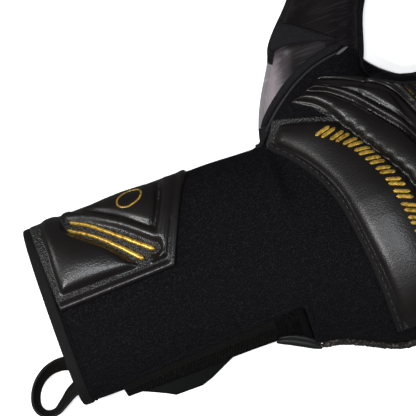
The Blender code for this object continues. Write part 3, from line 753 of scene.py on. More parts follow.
def eased(field, passes):
    """A grid of heights with its creases spread out."""
    for _ in range(passes):
        wide = np.pad(field, 1, mode="edge")
        field = (wide[:-2, 1:-1] + wide[2:, 1:-1] + wide[1:-1, :-2] + wide[1:-1, 2:] + 2 * field) / 6
    return field


def pillow(outline, x, y, height, edge=2.2, crown=0.35, reach=11.0, passes=30):
    """Height of a pressed pillow: it rises steeply from its outline, then swells slowly to its middle."""
    depth = depth_in(outline, x, y)
    t = np.clip(depth / edge, 0, 1)
    swell = eased(np.sin(np.clip(depth / reach, 0, 1) * math.pi / 2), passes)
    return np.where(depth > 0, height * ((1 - crown) * np.sqrt(np.maximum(1 - (1 - t) ** 2, 0)) + crown * swell), 0.0)


def relief_pad(name, left, right, spot, height_at, step, finish, flange_finish=None, flange_top=1.25, sink=0.5,
               flange_at=None):
    """A pad whose plan lies between two lines, with its top raised from the skin by height_at(x, y)."""
    longest = max(sum((b - a).length for a, b in zip(line, line[1:])) for line in (left, right))
    rows = int(longest / step)
    widest_gap = max((a - b).length for a, b in zip(resampled(left, 12), resampled(right, 12)))
    columns = int(widest_gap / step)
    first, last = resampled(left, rows), resampled(right, rows)
    x = np.zeros((rows + 1, columns + 1))
    y = np.zeros_like(x)
    for i in range(rows + 1):
        shares = np.linspace(0, 1, columns + 1)
        x[i] = first[i].x + (last[i].x - first[i].x) * shares
        y[i] = first[i].y + (last[i].y - first[i].y) * shares
    height = height_at(x, y)
    flanged = flange_at(x, y) if flange_at else np.ones(x.shape, bool)
    made = bmesh.new()
    top, base = [], []
    for i in range(rows + 1):
        upper, lower = [], []
        for j in range(columns + 1):
            place, facing = spot(x[i, j], y[i, j])
            upper.append(made.verts.new((place + facing * height[i, j]) * MM))
            lower.append(made.verts.new((place - facing * sink) * MM))
        top.append(upper)
        base.append(lower)
    for i in range(rows):
        for j in range(columns):
            face = made.faces.new((top[i][j], top[i + 1][j], top[i + 1][j + 1], top[i][j + 1]))
            low = height[i:i + 2, j:j + 2].max() < flange_top + 0.12 and flanged[i, j]
            face.material_index = 1 if flange_finish and low else 0
            made.faces.new((base[i][j], base[i][j + 1], base[i + 1][j + 1], base[i + 1][j]))
    border = [(0, j) for j in range(columns)] + [(i, columns) for i in range(rows)]
    border += [(rows, j) for j in range(columns, 0, -1)] + [(i, 0) for i in range(rows, 0, -1)]
    for (i, j), (k, m) in zip(border, border[1:] + border[:1]):
        made.faces.new((top[i][j], top[k][m], base[k][m], base[i][j]))
    bmesh.ops.recalc_face_normals(made, faces=made.faces)
    piece = mesh_object(name, made)
    piece.data.materials.append(finish)
    if flange_finish:
        piece.data.materials.append(flange_finish)
    piece.data.shade_smooth()
    piece.data.set_sharp_from_angle(angle=math.radians(60))
    return piece


def resampled(line, count):
    """count + 1 points spread evenly along a line."""
    line = [Vector((q[0], q[1])) for q in line]
    lengths = np.concatenate([[0], np.cumsum([(b - a).length for a, b in zip(line, line[1:])])])
    shares = np.linspace(0, lengths[-1], count + 1)
    return [Vector((float(np.interp(s, lengths, [q.x for q in line])),
                    float(np.interp(s, lengths, [q.y for q in line])))) for s in shares]


def edge_round(x, y, outline, top, radius=1.1):
    """Height of a flange whose outer edge is rounded over."""
    depth = np.maximum(depth_in(outline, x, y), 0)
    t = np.clip(depth / radius, 0, 1)
    return top * np.sqrt(np.maximum(1 - (1 - t) ** 2, 0.04))


def grain_group():
    """Leather grain: a height of small rounded pebbles with creases between them, and a slow unevenness."""
    made, entry, leave = group("leather_grain", [("Scale", "NodeSocketFloat", 1400.0)],
                               [("Height", "NodeSocketFloat"), ("Patches", "NodeSocketFloat")])
    place = node(made, "TexCoord")
    cells = node(made, "TexVoronoi", {"Randomness": 1.0})
    fine = node(made, "TexNoise", {"Detail": 4.0})
    patches = node(made, "TexNoise", {"Scale": 45.0})
    both = node(made, "Math", {1: 0.6}, operation="MULTIPLY_ADD")
    wire(made, (place.outputs["Object"], cells.inputs["Vector"]), (place.outputs["Object"], fine.inputs["Vector"]),
         (place.outputs["Object"], patches.inputs["Vector"]), (entry.outputs["Scale"], cells.inputs["Scale"]),
         (entry.outputs["Scale"], fine.inputs["Scale"]), (cells.outputs["Distance"], both.inputs[0]),
         (fine.outputs["Fac"], both.inputs[2]), (both.outputs["Value"], leave.inputs["Height"]),
         (patches.outputs["Fac"], leave.inputs["Patches"]))
    return made


GRAIN = grain_group()


def leather(name, dark, light, scale, bump, rough_low, rough_high, depth=0.0002, specular=0.5):
    """Synthetic leather: uneven black, its gloss broken by grain."""
    made = plain(name, dark, rough_low)
    tree = made.node_tree
    shader = tree.nodes["Principled BSDF"]
    shader.inputs["Specular IOR Level"].default_value = specular
    grain = node(tree, "Group", {"Scale": scale}, node_tree=GRAIN)
    mix = node(tree, "Mix", {"A": (*dark, 1), "B": (*light, 1)}, data_type="RGBA")
    gloss = node(tree, "MapRange", {"To Min": rough_low, "To Max": rough_high})
    relief = node(tree, "Bump", {"Strength": bump, "Distance": depth})
    wire(tree, (grain.outputs["Patches"], mix.inputs["Factor"]), (mix.outputs["Result"], shader.inputs["Base Color"]),
         (grain.outputs["Patches"], gloss.inputs["Value"]), (gloss.outputs["Result"], shader.inputs["Roughness"]),
         (grain.outputs["Height"], relief.inputs["Height"]), (relief.outputs["Normal"], shader.inputs["Normal"]))
    return made


PAD_DARK = (0.0040, 0.0031, 0.0029)
PAD_LIGHT = (0.0088, 0.0070, 0.0065)
pad_leather = leather("pad_leather", PAD_DARK, PAD_LIGHT, 1300.0, 0.34, 0.28, 0.4, specular=0.45)
flange_leather = leather("flange_leather", (0.010, 0.0095, 0.0095), (0.024, 0.023, 0.022), 1050.0, 1.0, 0.34, 0.5,
                         depth=0.0009)

PAD_SIDE = 49.0
FLANGE = 1.3
TRENCH_DEEP, TRENCH_HALF = 0.55, 3.4
ROLL_HIGH, ROLL_HALF = 2.2, 2.3
RIDGE_HIGH, RIDGE_IN, RIDGE_HALF = 0.85, 1.75, 1.6
SIDE_FROM, SIDE_TO, SIDE_LOSS = 30, 38, 0.66
cuff_left = curve_through(unrolled_line([(-100.3, -2.4), (-101.2, 18), (-102.6, 38), (-102.6, PAD_SIDE)]), 1.5)
cuff_right = [Vector(p) for p in unrolled_line([(-48.6, -0.6), (-31.5, 35.5), (-30.0, PAD_SIDE)])]
cuff_outline = cuff_left + cuff_right[::-1]
cuff_border = [Vector(p) for p in unrolled_line([(-100.3, -2.4), (-48.6, -0.6), (-31.5, 35.5), (-30.0, PAD_SIDE)])]
big_pillow = [Vector(p) for p in unrolled_line([(-96.3, PAD_SIDE - 3), (-96.6, 37), (-97.4, 4.9), (-63.4, 5.0)])]
big_pillow += curve_through(unrolled_line([(-63.4, 5.0), (-72.4, 16.0), (-85.0, 26.4), (-88.3, 31), (-89.5, 36.5)]))
big_pillow += [Vector((-89.5, unrolled(PAD_SIDE - 3)))]
triangle_pillow = curve_through(unrolled_line([(-79, 36.2), (-65, 27.9), (-52.8, 19.0)]))
triangle_pillow += curve_through(unrolled_line([(-52.0, 19.2), (-47.8, 26.6), (-44.2, 36.2)])) + [
    Vector((-60, unrolled(37.8)))]
side_pillow = [Vector(p) for p in unrolled_line([(-95, 38.6), (-95, PAD_SIDE - 3), (-38, PAD_SIDE - 3), (-39, 38.6)])]
upper_roll = curve_through(unrolled_line([(-85.3, 37.2), (-84, 35.4), (-72.8, 29.7), (-63.6, 24.1), (-52.2, 14.6)]))
chevron_pillow = curve_through(unrolled_line([(-51.2, 16.2), (-44.6, 29.4), (-41.7, 37)]))
chevron_pillow += curve_through(unrolled_line([(-35.0, 36), (-37.2, 31.5), (-39.4, 27.4)]))
chevron_pillow += [Vector(p) for p in unrolled_line([(-50.2, 4.9), (-57.4, 4.4), (-57.8, 6.1)])]
chevron_pillow += curve_through(unrolled_line([(-53.2, 6.6), (-51.2, 8.6), (-51.4, 11.6), (-53.2, 13.8)]))
stripe_lines = [curve_through(unrolled_line(points), 1.0) for points in (
    [(-84.9, 32.7), (-76.8, 28), (-68.4, 21.1), (-54.4, 9.2)],
    [(-86.5, 29.6), (-76, 22.7), (-67.4, 14.7), (-60.0, 6.9)])]


def cuff_height(x, y):
    base = edge_round(x, y, cuff_outline, FLANGE) * (1 - 0.35 * np.clip((y - unrolled(36)) / 8, 0, 1))
    trench = np.minimum(distance_to(stripe_lines[0], x, y), distance_to(stripe_lines[1], x, y))
    base -= TRENCH_DEEP * np.clip(1 - trench / TRENCH_HALF, 0, 1) ** 0.5
    roll = distance_to(upper_roll, x, y)
    rise = np.maximum.reduce([
        pillow(big_pillow, x, y, 4.6, edge=3.4, crown=0.55, reach=14, passes=110),
        pillow(triangle_pillow, x, y, 3.2, edge=2.4, crown=0.45),
        pillow(chevron_pillow, x, y, 3.2, edge=2.4, crown=0.3, reach=5),
        ROLL_HIGH * np.sqrt(np.maximum(1 - (roll / ROLL_HALF) ** 2, 0)),
        RIDGE_HIGH * np.sqrt(np.maximum(1 - ((distance_to(cuff_border, x, y) - RIDGE_IN) / RIDGE_HALF) ** 2, 0)),
    ])
    rise = eased(rise, 2)
    side = np.clip((y - unrolled(SIDE_FROM)) / (unrolled(SIDE_TO) - unrolled(SIDE_FROM)), 0, 1)
    rise *= 1 - SIDE_LOSS * side * side * (3 - 2 * side)
    return base + np.maximum(rise, pillow(side_pillow, x, y, 1.2, edge=3.0))


cuff_pad = relief_pad("cuff_pad_leather", cuff_left, cuff_right, cuff_spot, cuff_height, 0.62, pad_leather,
                      flange_leather)
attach(cuff_pad, "hand")
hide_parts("cuff_pad")


def on_pad(piece, spot):
    """A function like spot that gives places on a finished pad instead of on the glove's skin."""
    shape = bmesh.new()
    shape.from_mesh(piece.data)
    tree = BVHTree.FromBMesh(shape)
    shape.free()

    def found(x, y):
        place, facing = spot(x, y)
        hit, _, _, _ = tree.ray_cast((place + facing * 12) * MM, -facing)
        return (hit / MM if hit else place), facing

    return found


def squared(value, power):
    """A sine or cosine that makes a round section squarer as power falls below 1."""
    return math.copysign(abs(value) ** power, value)


def rounded_bar(made, line, spot, lift, half_at, high, sides=8, square=0.7):
    """Adds a bar with a rounded top and round ends along a line on the glove."""
    rows = []
    count = len(line)
    for i, q in enumerate(line):
        before, after = line[max(i - 1, 0)], line[min(i + 1, count - 1)]
        place, facing = spot(q.x, q.y)
        ahead = spot(after.x, after.y)[0] - spot(before.x, before.y)[0]
        aside = facing.cross(ahead).normalized()
        half = half_at(i / (count - 1))
        row = []
        for j in range(sides + 1):
            angle = math.pi * j / sides
            rise = lift - 0.3 + (high + 0.3) * max(math.sin(angle), 0.0) ** square
            row.append(made.verts.new((place + facing * rise + aside * half * squared(math.cos(angle), square)) * MM))
        rows.append(row)
    for a, b in zip(rows, rows[1:]):
        for j in range(sides):
            made.faces.new((a[j], a[j + 1], b[j + 1], b[j]))
        made.faces.new((a[sides], a[0], b[0], b[sides]))
    made.faces.new(rows[0])
    made.faces.new(rows[-1][::-1])


def end_round(share, length, half, radius):
    """Half width near a bar's ends, so that they are round."""
    gap = min(share, 1 - share) * length
    return half * math.sqrt(max(1 - max(1 - gap / radius, 0) ** 2, 0.02))


def gold_finish():
    """Gold print on a raised moulding, brushed unevenly and thin in places."""
    made = plain("gold_print", (0.55, 0.34, 0.06), 0.4, metallic=0.5)
    tree = made.node_tree
    shader = tree.nodes["Principled BSDF"]
    place = node(tree, "TexCoord")
    streak = node(tree, "TexNoise", {"Scale": 700.0, "Detail": 5.0})
    ramp = ramp_node(tree, [(0.3, (0.17, 0.085, 0.008)), (0.62, (0.66, 0.41, 0.055))])
    relief = node(tree, "Bump", {"Strength": 0.5, "Distance": 0.0002})
    wire(tree, (place.outputs["Object"], streak.inputs["Vector"]), (streak.outputs["Fac"], ramp.inputs["Fac"]),
         (ramp.outputs["Color"], shader.inputs["Base Color"]), (streak.outputs["Fac"], relief.inputs["Height"]),
         (relief.outputs["Normal"], shader.inputs["Normal"]))
    return made


gold = gold_finish()
on_cuff_pad = on_pad(cuff_pad, cuff_spot)
EMBLEM_X, EMBLEM_Y, EMBLEM_LONG, EMBLEM_WIDE, EMBLEM_LEAN = -57.4, 31.9, 5.6, 3.7, 0.8
stripes = bmesh.new()
for line in stripe_lines:
    length = sum((b - a).length for a, b in zip(line, line[1:]))
    rounded_bar(stripes, line, on_cuff_pad, 0.0,
                lambda share, length=length: (0.55 + 0.6 * share) * end_round(share, length, 1.0, 1.2), 1.15)
emblem = [Vector((EMBLEM_X + EMBLEM_LONG * math.cos(a),
                  unrolled(EMBLEM_Y) + EMBLEM_WIDE * math.sin(a) + EMBLEM_LEAN * math.cos(a)))
          for a in np.linspace(0, 2 * math.pi, 41)]
rounded_bar(stripes, emblem, on_cuff_pad, 0.0, lambda share: 0.45, 0.25, sides=5)
cuff_gold = closed_piece("cuff_gold_lines", stripes, gold, 75)
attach(cuff_gold, "hand")

# ---------------------------------------------------------------- the crescent pad
# The same leather over foam, across the back of the hand from the thumb to the little finger. Its pillows run
# side by side and end in points at the thumb; a row of slanted gold bars is pressed into the widest one.

crescent_wrist = curve_through([(11.4, 46), (8.2, 40.5), (4.8, 34.6), (11.7, 26), (19, 14.4), (23.4, 3), (25.5, -7),
                                (28, -30), (29.4, -57)], 1.5)
crescent_finger = curve_through([(34.5, 54.5), (47, 49.5), (61, 41), (67, 28), (72, 10), (77, -12), (81, -34),
                                 (83, -58)], 1.5)
crescent_outline = crescent_wrist + crescent_finger[::-1]
groove_wrist = curve_through([(13.6, 41.0), (11.2, 37.4), (9.4, 34), (17, 25), (23, 15), (27, 5.5), (29, -6), (32, -30),
                              (34, -54)])
BUMP_STEP, BUMP_PITCH, BUMP_OUT, BUMP_DEEP, BUMPS_BELOW = 0.6, 5.2, 1.3, 1.1, 35
bumps_line = curve_through([(21.7, 48.3), (29.4, 43.4), (34.2, 37.0), (39.7, 27.9), (45.3, 18.1), (51.4, 8.0),
                            (55.8, -2), (59, -20), (61, -54)], BUMP_STEP)
NOTCH_EASE, NOTCH_SINK = 1.1, 0.45
NOTCH = [(8, 47.5), (13.0, 45.1), (33.4, 37.7), (28.4, 43.0), (20.6, 48.6), (20.6, 53), (8, 53)]
ridge_two = curve_through([(28.6, 51.0), (37, 47), (45.5, 39), (54, 29), (64, 13), (69, -4), (71.5, -25), (73, -54)])
ridge_one = curve_through([(33.5, 52.6), (46, 44.5), (56.5, 32.5), (66, 18), (71.5, 0), (75, -25), (77, -54)])


def beside(line, offset):
    """A line moved sideways, to the left of its direction for a positive offset."""
    found = []
    for i, q in enumerate(line):
        ahead = line[min(i + 1, len(line) - 1)] - line[max(i - 1, 0)]
        ahead.normalize()
        found.append(q + Vector((-ahead.y, ahead.x)) * offset)
    return found


def bump_offset(i, y):
    """How far the scalloped edge stands beside its line; towards the thumb it has no scallops."""
    if y >= BUMPS_BELOW:
        return BUMP_OUT
    return BUMP_OUT - BUMP_DEEP * abs(math.sin(math.pi * i * BUMP_STEP / BUMP_PITCH))


bumps_edge = [q + (r - q) * bump_offset(i, q.y)
              for i, (q, r) in enumerate(zip(bumps_line, beside(bumps_line, 1.0)))]
main_pillow = groove_wrist + beside([q for q in bumps_line if q.y < 34.0], -0.8)[::-1] + [Vector((32.2, 34.8))]
band_pillow = bumps_edge + beside(ridge_two, -0.8)[::-1]
ridge_pillow = beside(ridge_two, 0.6) + beside(ridge_one, -0.5)[::-1]
edge_pillow = beside(ridge_one, 0.6) + beside(crescent_finger, -3.0)[::-1]


def crescent_height(x, y):
    """The pad's height; in the notch beside the thumb its edge dips under the back's surface."""
    base = edge_round(x, y, crescent_outline, FLANGE)
    rise = np.maximum.reduce([
        pillow(main_pillow, x, y, 4.8, edge=4.4, crown=0.54, reach=13, passes=110),
        pillow(band_pillow, x, y, 4.2, edge=2.9, crown=0.35, reach=6, passes=50),
        pillow(ridge_pillow, x, y, 3.0, edge=1.2, crown=0.2, reach=2),
        pillow(edge_pillow, x, y, 2.2, edge=1.4, crown=0.2, reach=3),
    ])
    rise = eased(rise, 3)
    away = np.clip(-depth_in(NOTCH, x, y) / NOTCH_EASE, 0, 1)
    return (base + rise + NOTCH_SINK) * np.sqrt(1 - (1 - away) ** 2) - NOTCH_SINK


def crescent_flange(x, y):
    return (distance_to(crescent_wrist, x, y) < 4.2) | (distance_to(NOTCH[1:3], x, y) < 3.0)


soft_leather = leather("crescent_leather_skin", PAD_DARK, PAD_LIGHT, 1300.0, 0.34, 0.31, 0.43, specular=0.36)
crescent = relief_pad("crescent_leather", crescent_wrist, crescent_finger, plan_spot, crescent_height, 0.58,
                      soft_leather, flange_leather, flange_at=crescent_flange)
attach(crescent, "hand")
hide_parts("crescent_pad")

bar_line = curve_through([(28, 32), (38.2, 22.5), (44.5, 11.5), (48.8, 1), (51.2, -12), (52.6, -28), (53.4, -46)], 0.5)
BAR_STEPS, BAR_REACH, BAR_LEAN, BAR_HALF = (2.5, 3.6), 3.1, 1.7, 0.85
on_crescent = on_pad(crescent, plan_spot)
bars = bmesh.new()
travelled, next_bar, placed = 0.0, 1.0, 0
for a, b in zip(bar_line, bar_line[1:]):
    travelled += (b - a).length
    if travelled < next_bar:
        continue
    next_bar += BAR_STEPS[placed % 2]
    placed += 1
    ahead = (b - a).normalized()
    across = Vector((-ahead.y, ahead.x)) * BAR_REACH + ahead * BAR_LEAN
    line = [b + across * share for share in span(-1, 1, 9)]
    rounded_bar(bars, line, on_crescent, 0.0, lambda share: end_round(share, 2 * BAR_REACH, BAR_HALF, 0.25), 0.5,
                sides=6, square=0.45)
gold_bars = closed_piece("crescent_gold_bars", bars, gold, 50)
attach(gold_bars, "hand")

# The crescent's wrist edge is bound with a narrow stitched tape that stands up from its flange.
TAPE_IN = 1.9


def tape(name, line, spot, half, high, finish, lift=0.0, sides=8):
    """A narrow strip that follows a line on the glove."""
    made = bmesh.new()
    rounded_bar(made, line, spot, lift, lambda share: end_round(share, 100.0, half, half), high, sides)
    return closed_piece(name, made, finish)


def round_turns(count):
    """Angles spread evenly round a full turn."""
    return [2 * math.pi * i / count for i in range(count)]


def stitches(name, line, spot, lift, finish, length=2.1, gap=1.1, radius=0.24):
    """A row of stitches: short thread loops that dip into the cloth at both ends."""
    made = bmesh.new()
    whole = sum((b - a).length for a, b in zip(line, line[1:]))
    fine = resampled(line, int(whole / (length + gap)))
    for a, b in zip(fine, fine[1:]):
        run = (b - a) * (length / (length + gap))
        rows = []
        ahead = Vector((run.x, run.y, 0)).normalized()
        for share in span(0, 1, 5):
            q = a + run * share
            place, facing = spot(q.x, q.y)
            aside = facing.cross(ahead).normalized()
            bow = math.sin(math.pi * share)
            rise = lift + radius * 0.9 * bow - 0.05
            thick = radius * (0.55 + 0.45 * bow)
            rows.append([place + facing * (rise + thick * math.sin(t)) + aside * thick * math.cos(t)
                         for t in round_turns(5)])
        loft(made, rows)
    return closed_piece(name, made, finish, 80)


thread = cloth("sewing_thread", (0.022, 0.021, 0.02), (0.07, 0.066, 0.064), scale=3000.0, specks=0.7, roughness=0.5,
               specular=0.3)
binding = cloth("edge_binding", (0.0055, 0.005, 0.0055), (0.026, 0.024, 0.023), scale=3200.0, specks=0.55,
                roughness=0.6, bump=0.6, depth=0.0003)
tape_line = beside(crescent_wrist[8:], TAPE_IN)
welt = tape("crescent_welt_tape", tape_line, plan_spot, 2.1, 1.15, binding, lift=0.5)
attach(welt, "hand")
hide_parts("crescent_welt")
welt_stitches = stitches("crescent_welt_stitches", tape_line, plan_spot, 1.62, thread)
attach(welt_stitches, "hand")

# ---------------------------------------------------------------- the knuckle pad
# A thinner pressed pad between the crescent and the fingers, all fine ribs that run with the crescent's edge,
# with gold print in some of the valleys.

RIB_PITCH, RIB_HIGH = 1.9, 1.5
GOLD_VALLEYS = (1, 2, 4, 5, 7, 9)
PAD_GAP = 0.4
knuckle_far = curve_through([(36, 55.8), (48, 51.8), (60, 45.8), (70, 41.0), (82, 38.5), (93, 32), (100, 18), (103, 0),
                             (102, -28), (97, -58)], 1.5)
knuckle_near = beside(crescent_finger, PAD_GAP)
knuckle_outline = knuckle_near + knuckle_far[::-1]


def knuckle_height(x, y):
    base = edge_round(x, y, knuckle_outline, 0.9)
    away = distance_to(knuckle_near, x, y)
    depth = depth_in(knuckle_outline, x, y)
    ribs = np.sqrt(np.abs(np.sin(away / RIB_PITCH * math.pi)))
    return base + RIB_HIGH * ribs * np.clip((depth - 1.2) / 1.2, 0, 1)


knuckle = relief_pad("knuckle_leather", knuckle_near, knuckle_far, plan_spot, knuckle_height, 0.75, pad_leather)
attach(knuckle, "hand")
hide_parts("knuckle_pad")

on_knuckle = on_pad(knuckle, plan_spot)
lines = bmesh.new()
for i in GOLD_VALLEYS:
    line = resampled(beside(crescent_finger, PAD_GAP + RIB_PITCH * i), 90)[:80]
    line = [q for q in line if float(depth_in(knuckle_outline, np.array([q.x]), np.array([q.y]))[0]) > 2.0]
    if len(line) > 4:
        rounded_bar(lines, line, on_knuckle, 0.0, lambda share: end_round(share, 80, 0.26, 8.0), 0.25, sides=4)
knuckle_gold = closed_piece("knuckle_gold_lines", lines, gold, 75)
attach(knuckle_gold, "hand")

# ---------------------------------------------------------------- the thumb's welt and flap
# A matt cloth welt covers the seam where the film-covered latex of the thumb meets the back, with a thin piping
# sewn beside it, and ends in a small pale tab. Beyond it a matt flap is folded over the thumb from its outer side.

welt_line = curve_through([(0.6, 39.2), (3.6, 42.6), (9.6, 48.2), (15.8, 53.0), (24.2, 58.4), (33.9, 62.8),
                           (43.7, 65.2), (49, 65.9)], 1.5)
welt_cloth = cloth("welt_cloth", (0.007, 0.0065, 0.0075), (0.03, 0.028, 0.03), scale=1900.0, specks=0.6, bump=0.3)
thumb_welt = tape("thumb_welt_tape", welt_line, plan_spot, 1.7, 1.35, welt_cloth, lift=0.1)
bend(thumb_welt)
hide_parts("thumb_welt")
piping_cloth = cloth("piping_cord", (0.02, 0.019, 0.021), (0.07, 0.067, 0.07), specks=0.7, roughness=0.5)
welt_piping = tape("thumb_welt_piping", beside(welt_line, -2.5), plan_spot, 0.5, 0.75, piping_cloth)
bend(welt_piping)
tab_cloth = cloth("pale_tab", (0.11, 0.105, 0.11), (0.26, 0.25, 0.26), scale=2500.0, specks=0.6, roughness=0.5)
welt_tab = tape("thumb_welt_tab", curve_through([(46.2, 62.4), (51.4, 64.6)], 1.0), plan_spot, 0.65, 0.8, tab_cloth,
                lift=0.5)
bend(welt_tab)


def flap_height(x, y):
    edge = depth_in(flap_outline, x, y)
    outer = np.clip((24.0 - x) / 7, 0, 1)
    return 0.5 + 1.2 * np.sqrt(np.clip(edge / 1.4, 0, 1)) + 1.3 * outer * np.clip(1 - (y - 74) / 5, 0, 1)


flap_near = curve_through([(12.6, 73.2), (18.0, 74.3), (26, 74.2), (38, 71.2), (48.2, 68.2)], 0.8)
flap_far = curve_through([(13.4, 76.0), (20, 81), (27.2, 86), (32.5, 82.4), (40, 76.0), (48.2, 69.4)], 0.8)
flap_outline = flap_near + flap_far[::-1]
flap = relief_pad("thumb_flap", flap_near, flap_far, plan_spot, flap_height, 0.8, welt_cloth, sink=0.2)
bend(flap)

# In the web between thumb and hand the latex is turned up: its cut, film-covered rim shows below the neoprene, pale
# partly of its own and partly by a painted highlight.
WEB_HEIGHT = 12.4
WEB_SECTION = ((-6.0, -0.9), (0.7, -0.9), (1.1, -0.3), (1.1, 0.3), (0.6, 0.8), (-6.0, 1.6))
web_line = curve_through([(55.8, 64), (56.5, 60), (58.9, 56.4), (62.0, 53.0), (65.4, 50.0), (69.6, 47.1), (76, 44.7)],
                         1.0)
web_made = bmesh.new()
web_rows = []
for i, q in enumerate(web_line):
    ahead = web_line[min(i + 1, len(web_line) - 1)] - web_line[max(i - 1, 0)]
    out = Vector((-ahead.y, ahead.x, 0)).normalized()
    fade = min(1.0, 0.25 + i / 6, 0.25 + (len(web_line) - 1 - i) / 6)
    web_rows.append([Vector((q.x, q.y, WEB_HEIGHT)) + out * across * fade + Vector((0, 0, up))
                     for across, up in WEB_SECTION])
for i, face in enumerate(loft(web_made, web_rows)):
    face.material_index = int(0 < i % len(WEB_SECTION) < 4)
web_edge = closed_piece("thumb_web_film_edge", web_made, angle=50)
web_edge.data.materials.append(neoprene)
web_edge.data.materials.append(film_edge_and_highlight)
bend(web_edge)

# ---------------------------------------------------------------- the cuff's hem
# A knitted binding is folded over the neoprene's raw edge round the mouth of the cuff and sewn down with one row
# of dark thread, so it is a little thicker than the cloth and ends in a groove.

HEM_MIDDLE, HEM_HALF = -103.1, 2.5
HEM_OVER, HEM_UNDER = 0.75, 3.4
HEM_AROUND, HEM_SIDES = 180, 20
RING_HEIGHT = 20.0


def ring_spot(x, angle):
    """Place and direction of the cuff's surface, at an angle in radians from its crown."""
    way = Vector((0, math.sin(angle), math.cos(angle)))
    place, facing, _, _ = skin_tree.ray_cast(Vector((x, 0, RING_HEIGHT)) * MM, way)
    return place / MM, facing if facing.dot(way) > 0 else -facing


hem = bmesh.new()
rows = []
for angle in round_turns(HEM_AROUND):
    place, facing = ring_spot(CUFF_CUT, angle)
    row = []
    for turn_at in round_turns(HEM_SIDES):
        across, up = squared(math.cos(turn_at), 0.45), squared(math.sin(turn_at), 0.6)
        spot = place + facing * ((HEM_OVER - HEM_UNDER) / 2 + (HEM_OVER + HEM_UNDER) / 2 * up)
        row.append(hem.verts.new(Vector((HEM_MIDDLE + HEM_HALF * across, spot.y, max(spot.z, 0.0))) * MM))
    rows.append(row)
for a, b in zip(rows, rows[1:] + rows[:1]):
    for j in range(HEM_SIDES):
        k = (j + 1) % HEM_SIDES
        hem.faces.new((a[j], a[k], b[k], b[j]))
hem_piece = closed_piece("cuff_hem_binding", hem, binding, 60)
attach(hem_piece, "hand")
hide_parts("cuff_hem")

dark_thread = cloth("dark_thread", (0.0025, 0.0025, 0.003), (0.011, 0.011, 0.012), scale=3000.0, specks=0.6)
HEM_SEAM_X, HEM_SEAM_REACH, HEM_STITCHES = -99.9, 2.2, 119
STITCH_SHARES, STITCH_HALVES = (0.08, 0.35, 0.65, 0.92), (0.2, 0.32, 0.32, 0.2)
hem_run = np.linspace(-HEM_SEAM_REACH, HEM_SEAM_REACH, HEM_STITCHES + 1)
hem_made = bmesh.new()
for a, b in zip(hem_run, hem_run[1:]):
    stitch = []
    for share, thick in zip(STITCH_SHARES, STITCH_HALVES):
        place, facing = ring_spot(HEM_SEAM_X, a + (b - a) * share)
        stitch.append([place + facing * (0.12 + thick * math.sin(t)) + Vector((thick * 1.6 * math.cos(t), 0, 0))
                       for t in round_turns(6)])
    loft(hem_made, stitch)
hem_stitches = closed_piece("cuff_hem_stitches", hem_made, dark_thread, 80)
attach(hem_stitches, "hand")

# ---------------------------------------------------------------- the slit in the cuff
# The cuff opens along the little finger's side. The neoprene's edge there is rolled and overhangs a strip of
# spacer mesh, which lets the cuff stretch; a patch of curled pile and a sewn bar close the slit at the heel.

lip_line = curve_through([(SLIT_FROM - 2.5, -39.6), (SLIT_FROM + 1, -38.3), (-70, -37.0), (-50, -35.7), (-30, -34.6),
                          (-12, -33.6), (-5.5, -33.3), (-3.0, -34.6), (-2.4, -37.5), (-3.0, -42.5)], 1.5)
lip_roll = tape("slit_lip_roll", lip_line, plan_spot, 1.5, 1.25, neoprene, lift=-0.7)
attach(lip_roll, "hand")
lip_stitches = stitches("slit_lip_stitches", beside(lip_line, 2.6)[2:-6], plan_spot, 0.0, dark_thread, radius=0.2)
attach(lip_stitches, "hand")

GUSSET_OUT = [(-90, -41.6), (-60, -41.2), (-30, -40.9), (-16, -41.0), (-8, -44.6), (-3, -48.4)]
GUSSET_WIDE = 8.0
LIP_OVER = 1.2


def gusset_spot(x, share):
    """A place on the slanted strip: share runs from its inner edge, under the lip, to its outer one in 8 mm."""
    inner_y = lip_at(x) + LIP_OVER
    inner = Vector((x, inner_y, plan_spot(x, inner_y)[0].z - 3.0))
    outer = Vector((x, float(np.interp(x, [p[0] for p in GUSSET_OUT], [p[1] for p in GUSSET_OUT])), 8.5))
    t = share / GUSSET_WIDE
    place = inner.lerp(outer, t)
    facing = Vector((0, outer.z - inner.z, inner.y - outer.y)).normalized()
    return place + facing * 1.4 * math.sin(math.pi * t), facing


def strip_lines(x0, x1, near=0.0, far=GUSSET_WIDE):
    return [[Vector((x, y)) for x in np.linspace(x0, x1, 40)] for y in (near, far)]


HOLE_LONG, HOLE_WIDE, HOLE_SLANT = 1.35, 0.85, 1.3


def mesh_height(x, y):
    """Spacer mesh: rows of slanted oval holes between a plain band at the lip and a narrow outer edge."""
    u = (x + y * HOLE_SLANT) / HOLE_LONG
    v = y / HOLE_WIDE
    u = u + 0.5 * (np.floor(v) % 2)
    hole = np.hypot((u % 1.0 - 0.5) * 1.1, (v % 1.0 - 0.5) * 1.0)
    sunk = np.clip((0.36 - hole) / 0.1, 0, 1)
    field = (y > GUSSET_WIDE * 0.3) & (y < GUSSET_WIDE * 0.93)
    return 1.5 - 1.0 * sunk * field + 0.35 * (y < GUSSET_WIDE * 0.26)


mesh_cloth = cloth("spacer_mesh", (0.0030, 0.0026, 0.0024), (0.030, 0.026, 0.023), scale=3000.0, specks=0.6,
                   roughness=0.62, bump=0.4, specular=0.1)
near, far = strip_lines(SLIT_FROM, -17.6)
gusset = relief_pad("slit_mesh_strip", near, far, gusset_spot, mesh_height, 0.3, mesh_cloth, sink=0.8)
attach(gusset, "hand")
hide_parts("slit_gusset")


def wobble(x, y, size, seed):
    """A smooth random height between -1 and 1, the same each run."""
    found = np.zeros(x.shape)
    for i in np.ndindex(x.shape):
        found[i] = noise.noise(Vector((x[i] / size, y[i] / size, seed)))
    return found


def curl_height(x, y):
    return 1.2 + 1.5 * np.abs(wobble(x, y, 0.55, 3.0)) + 0.5 * wobble(x, y, 1.4, 7.0)


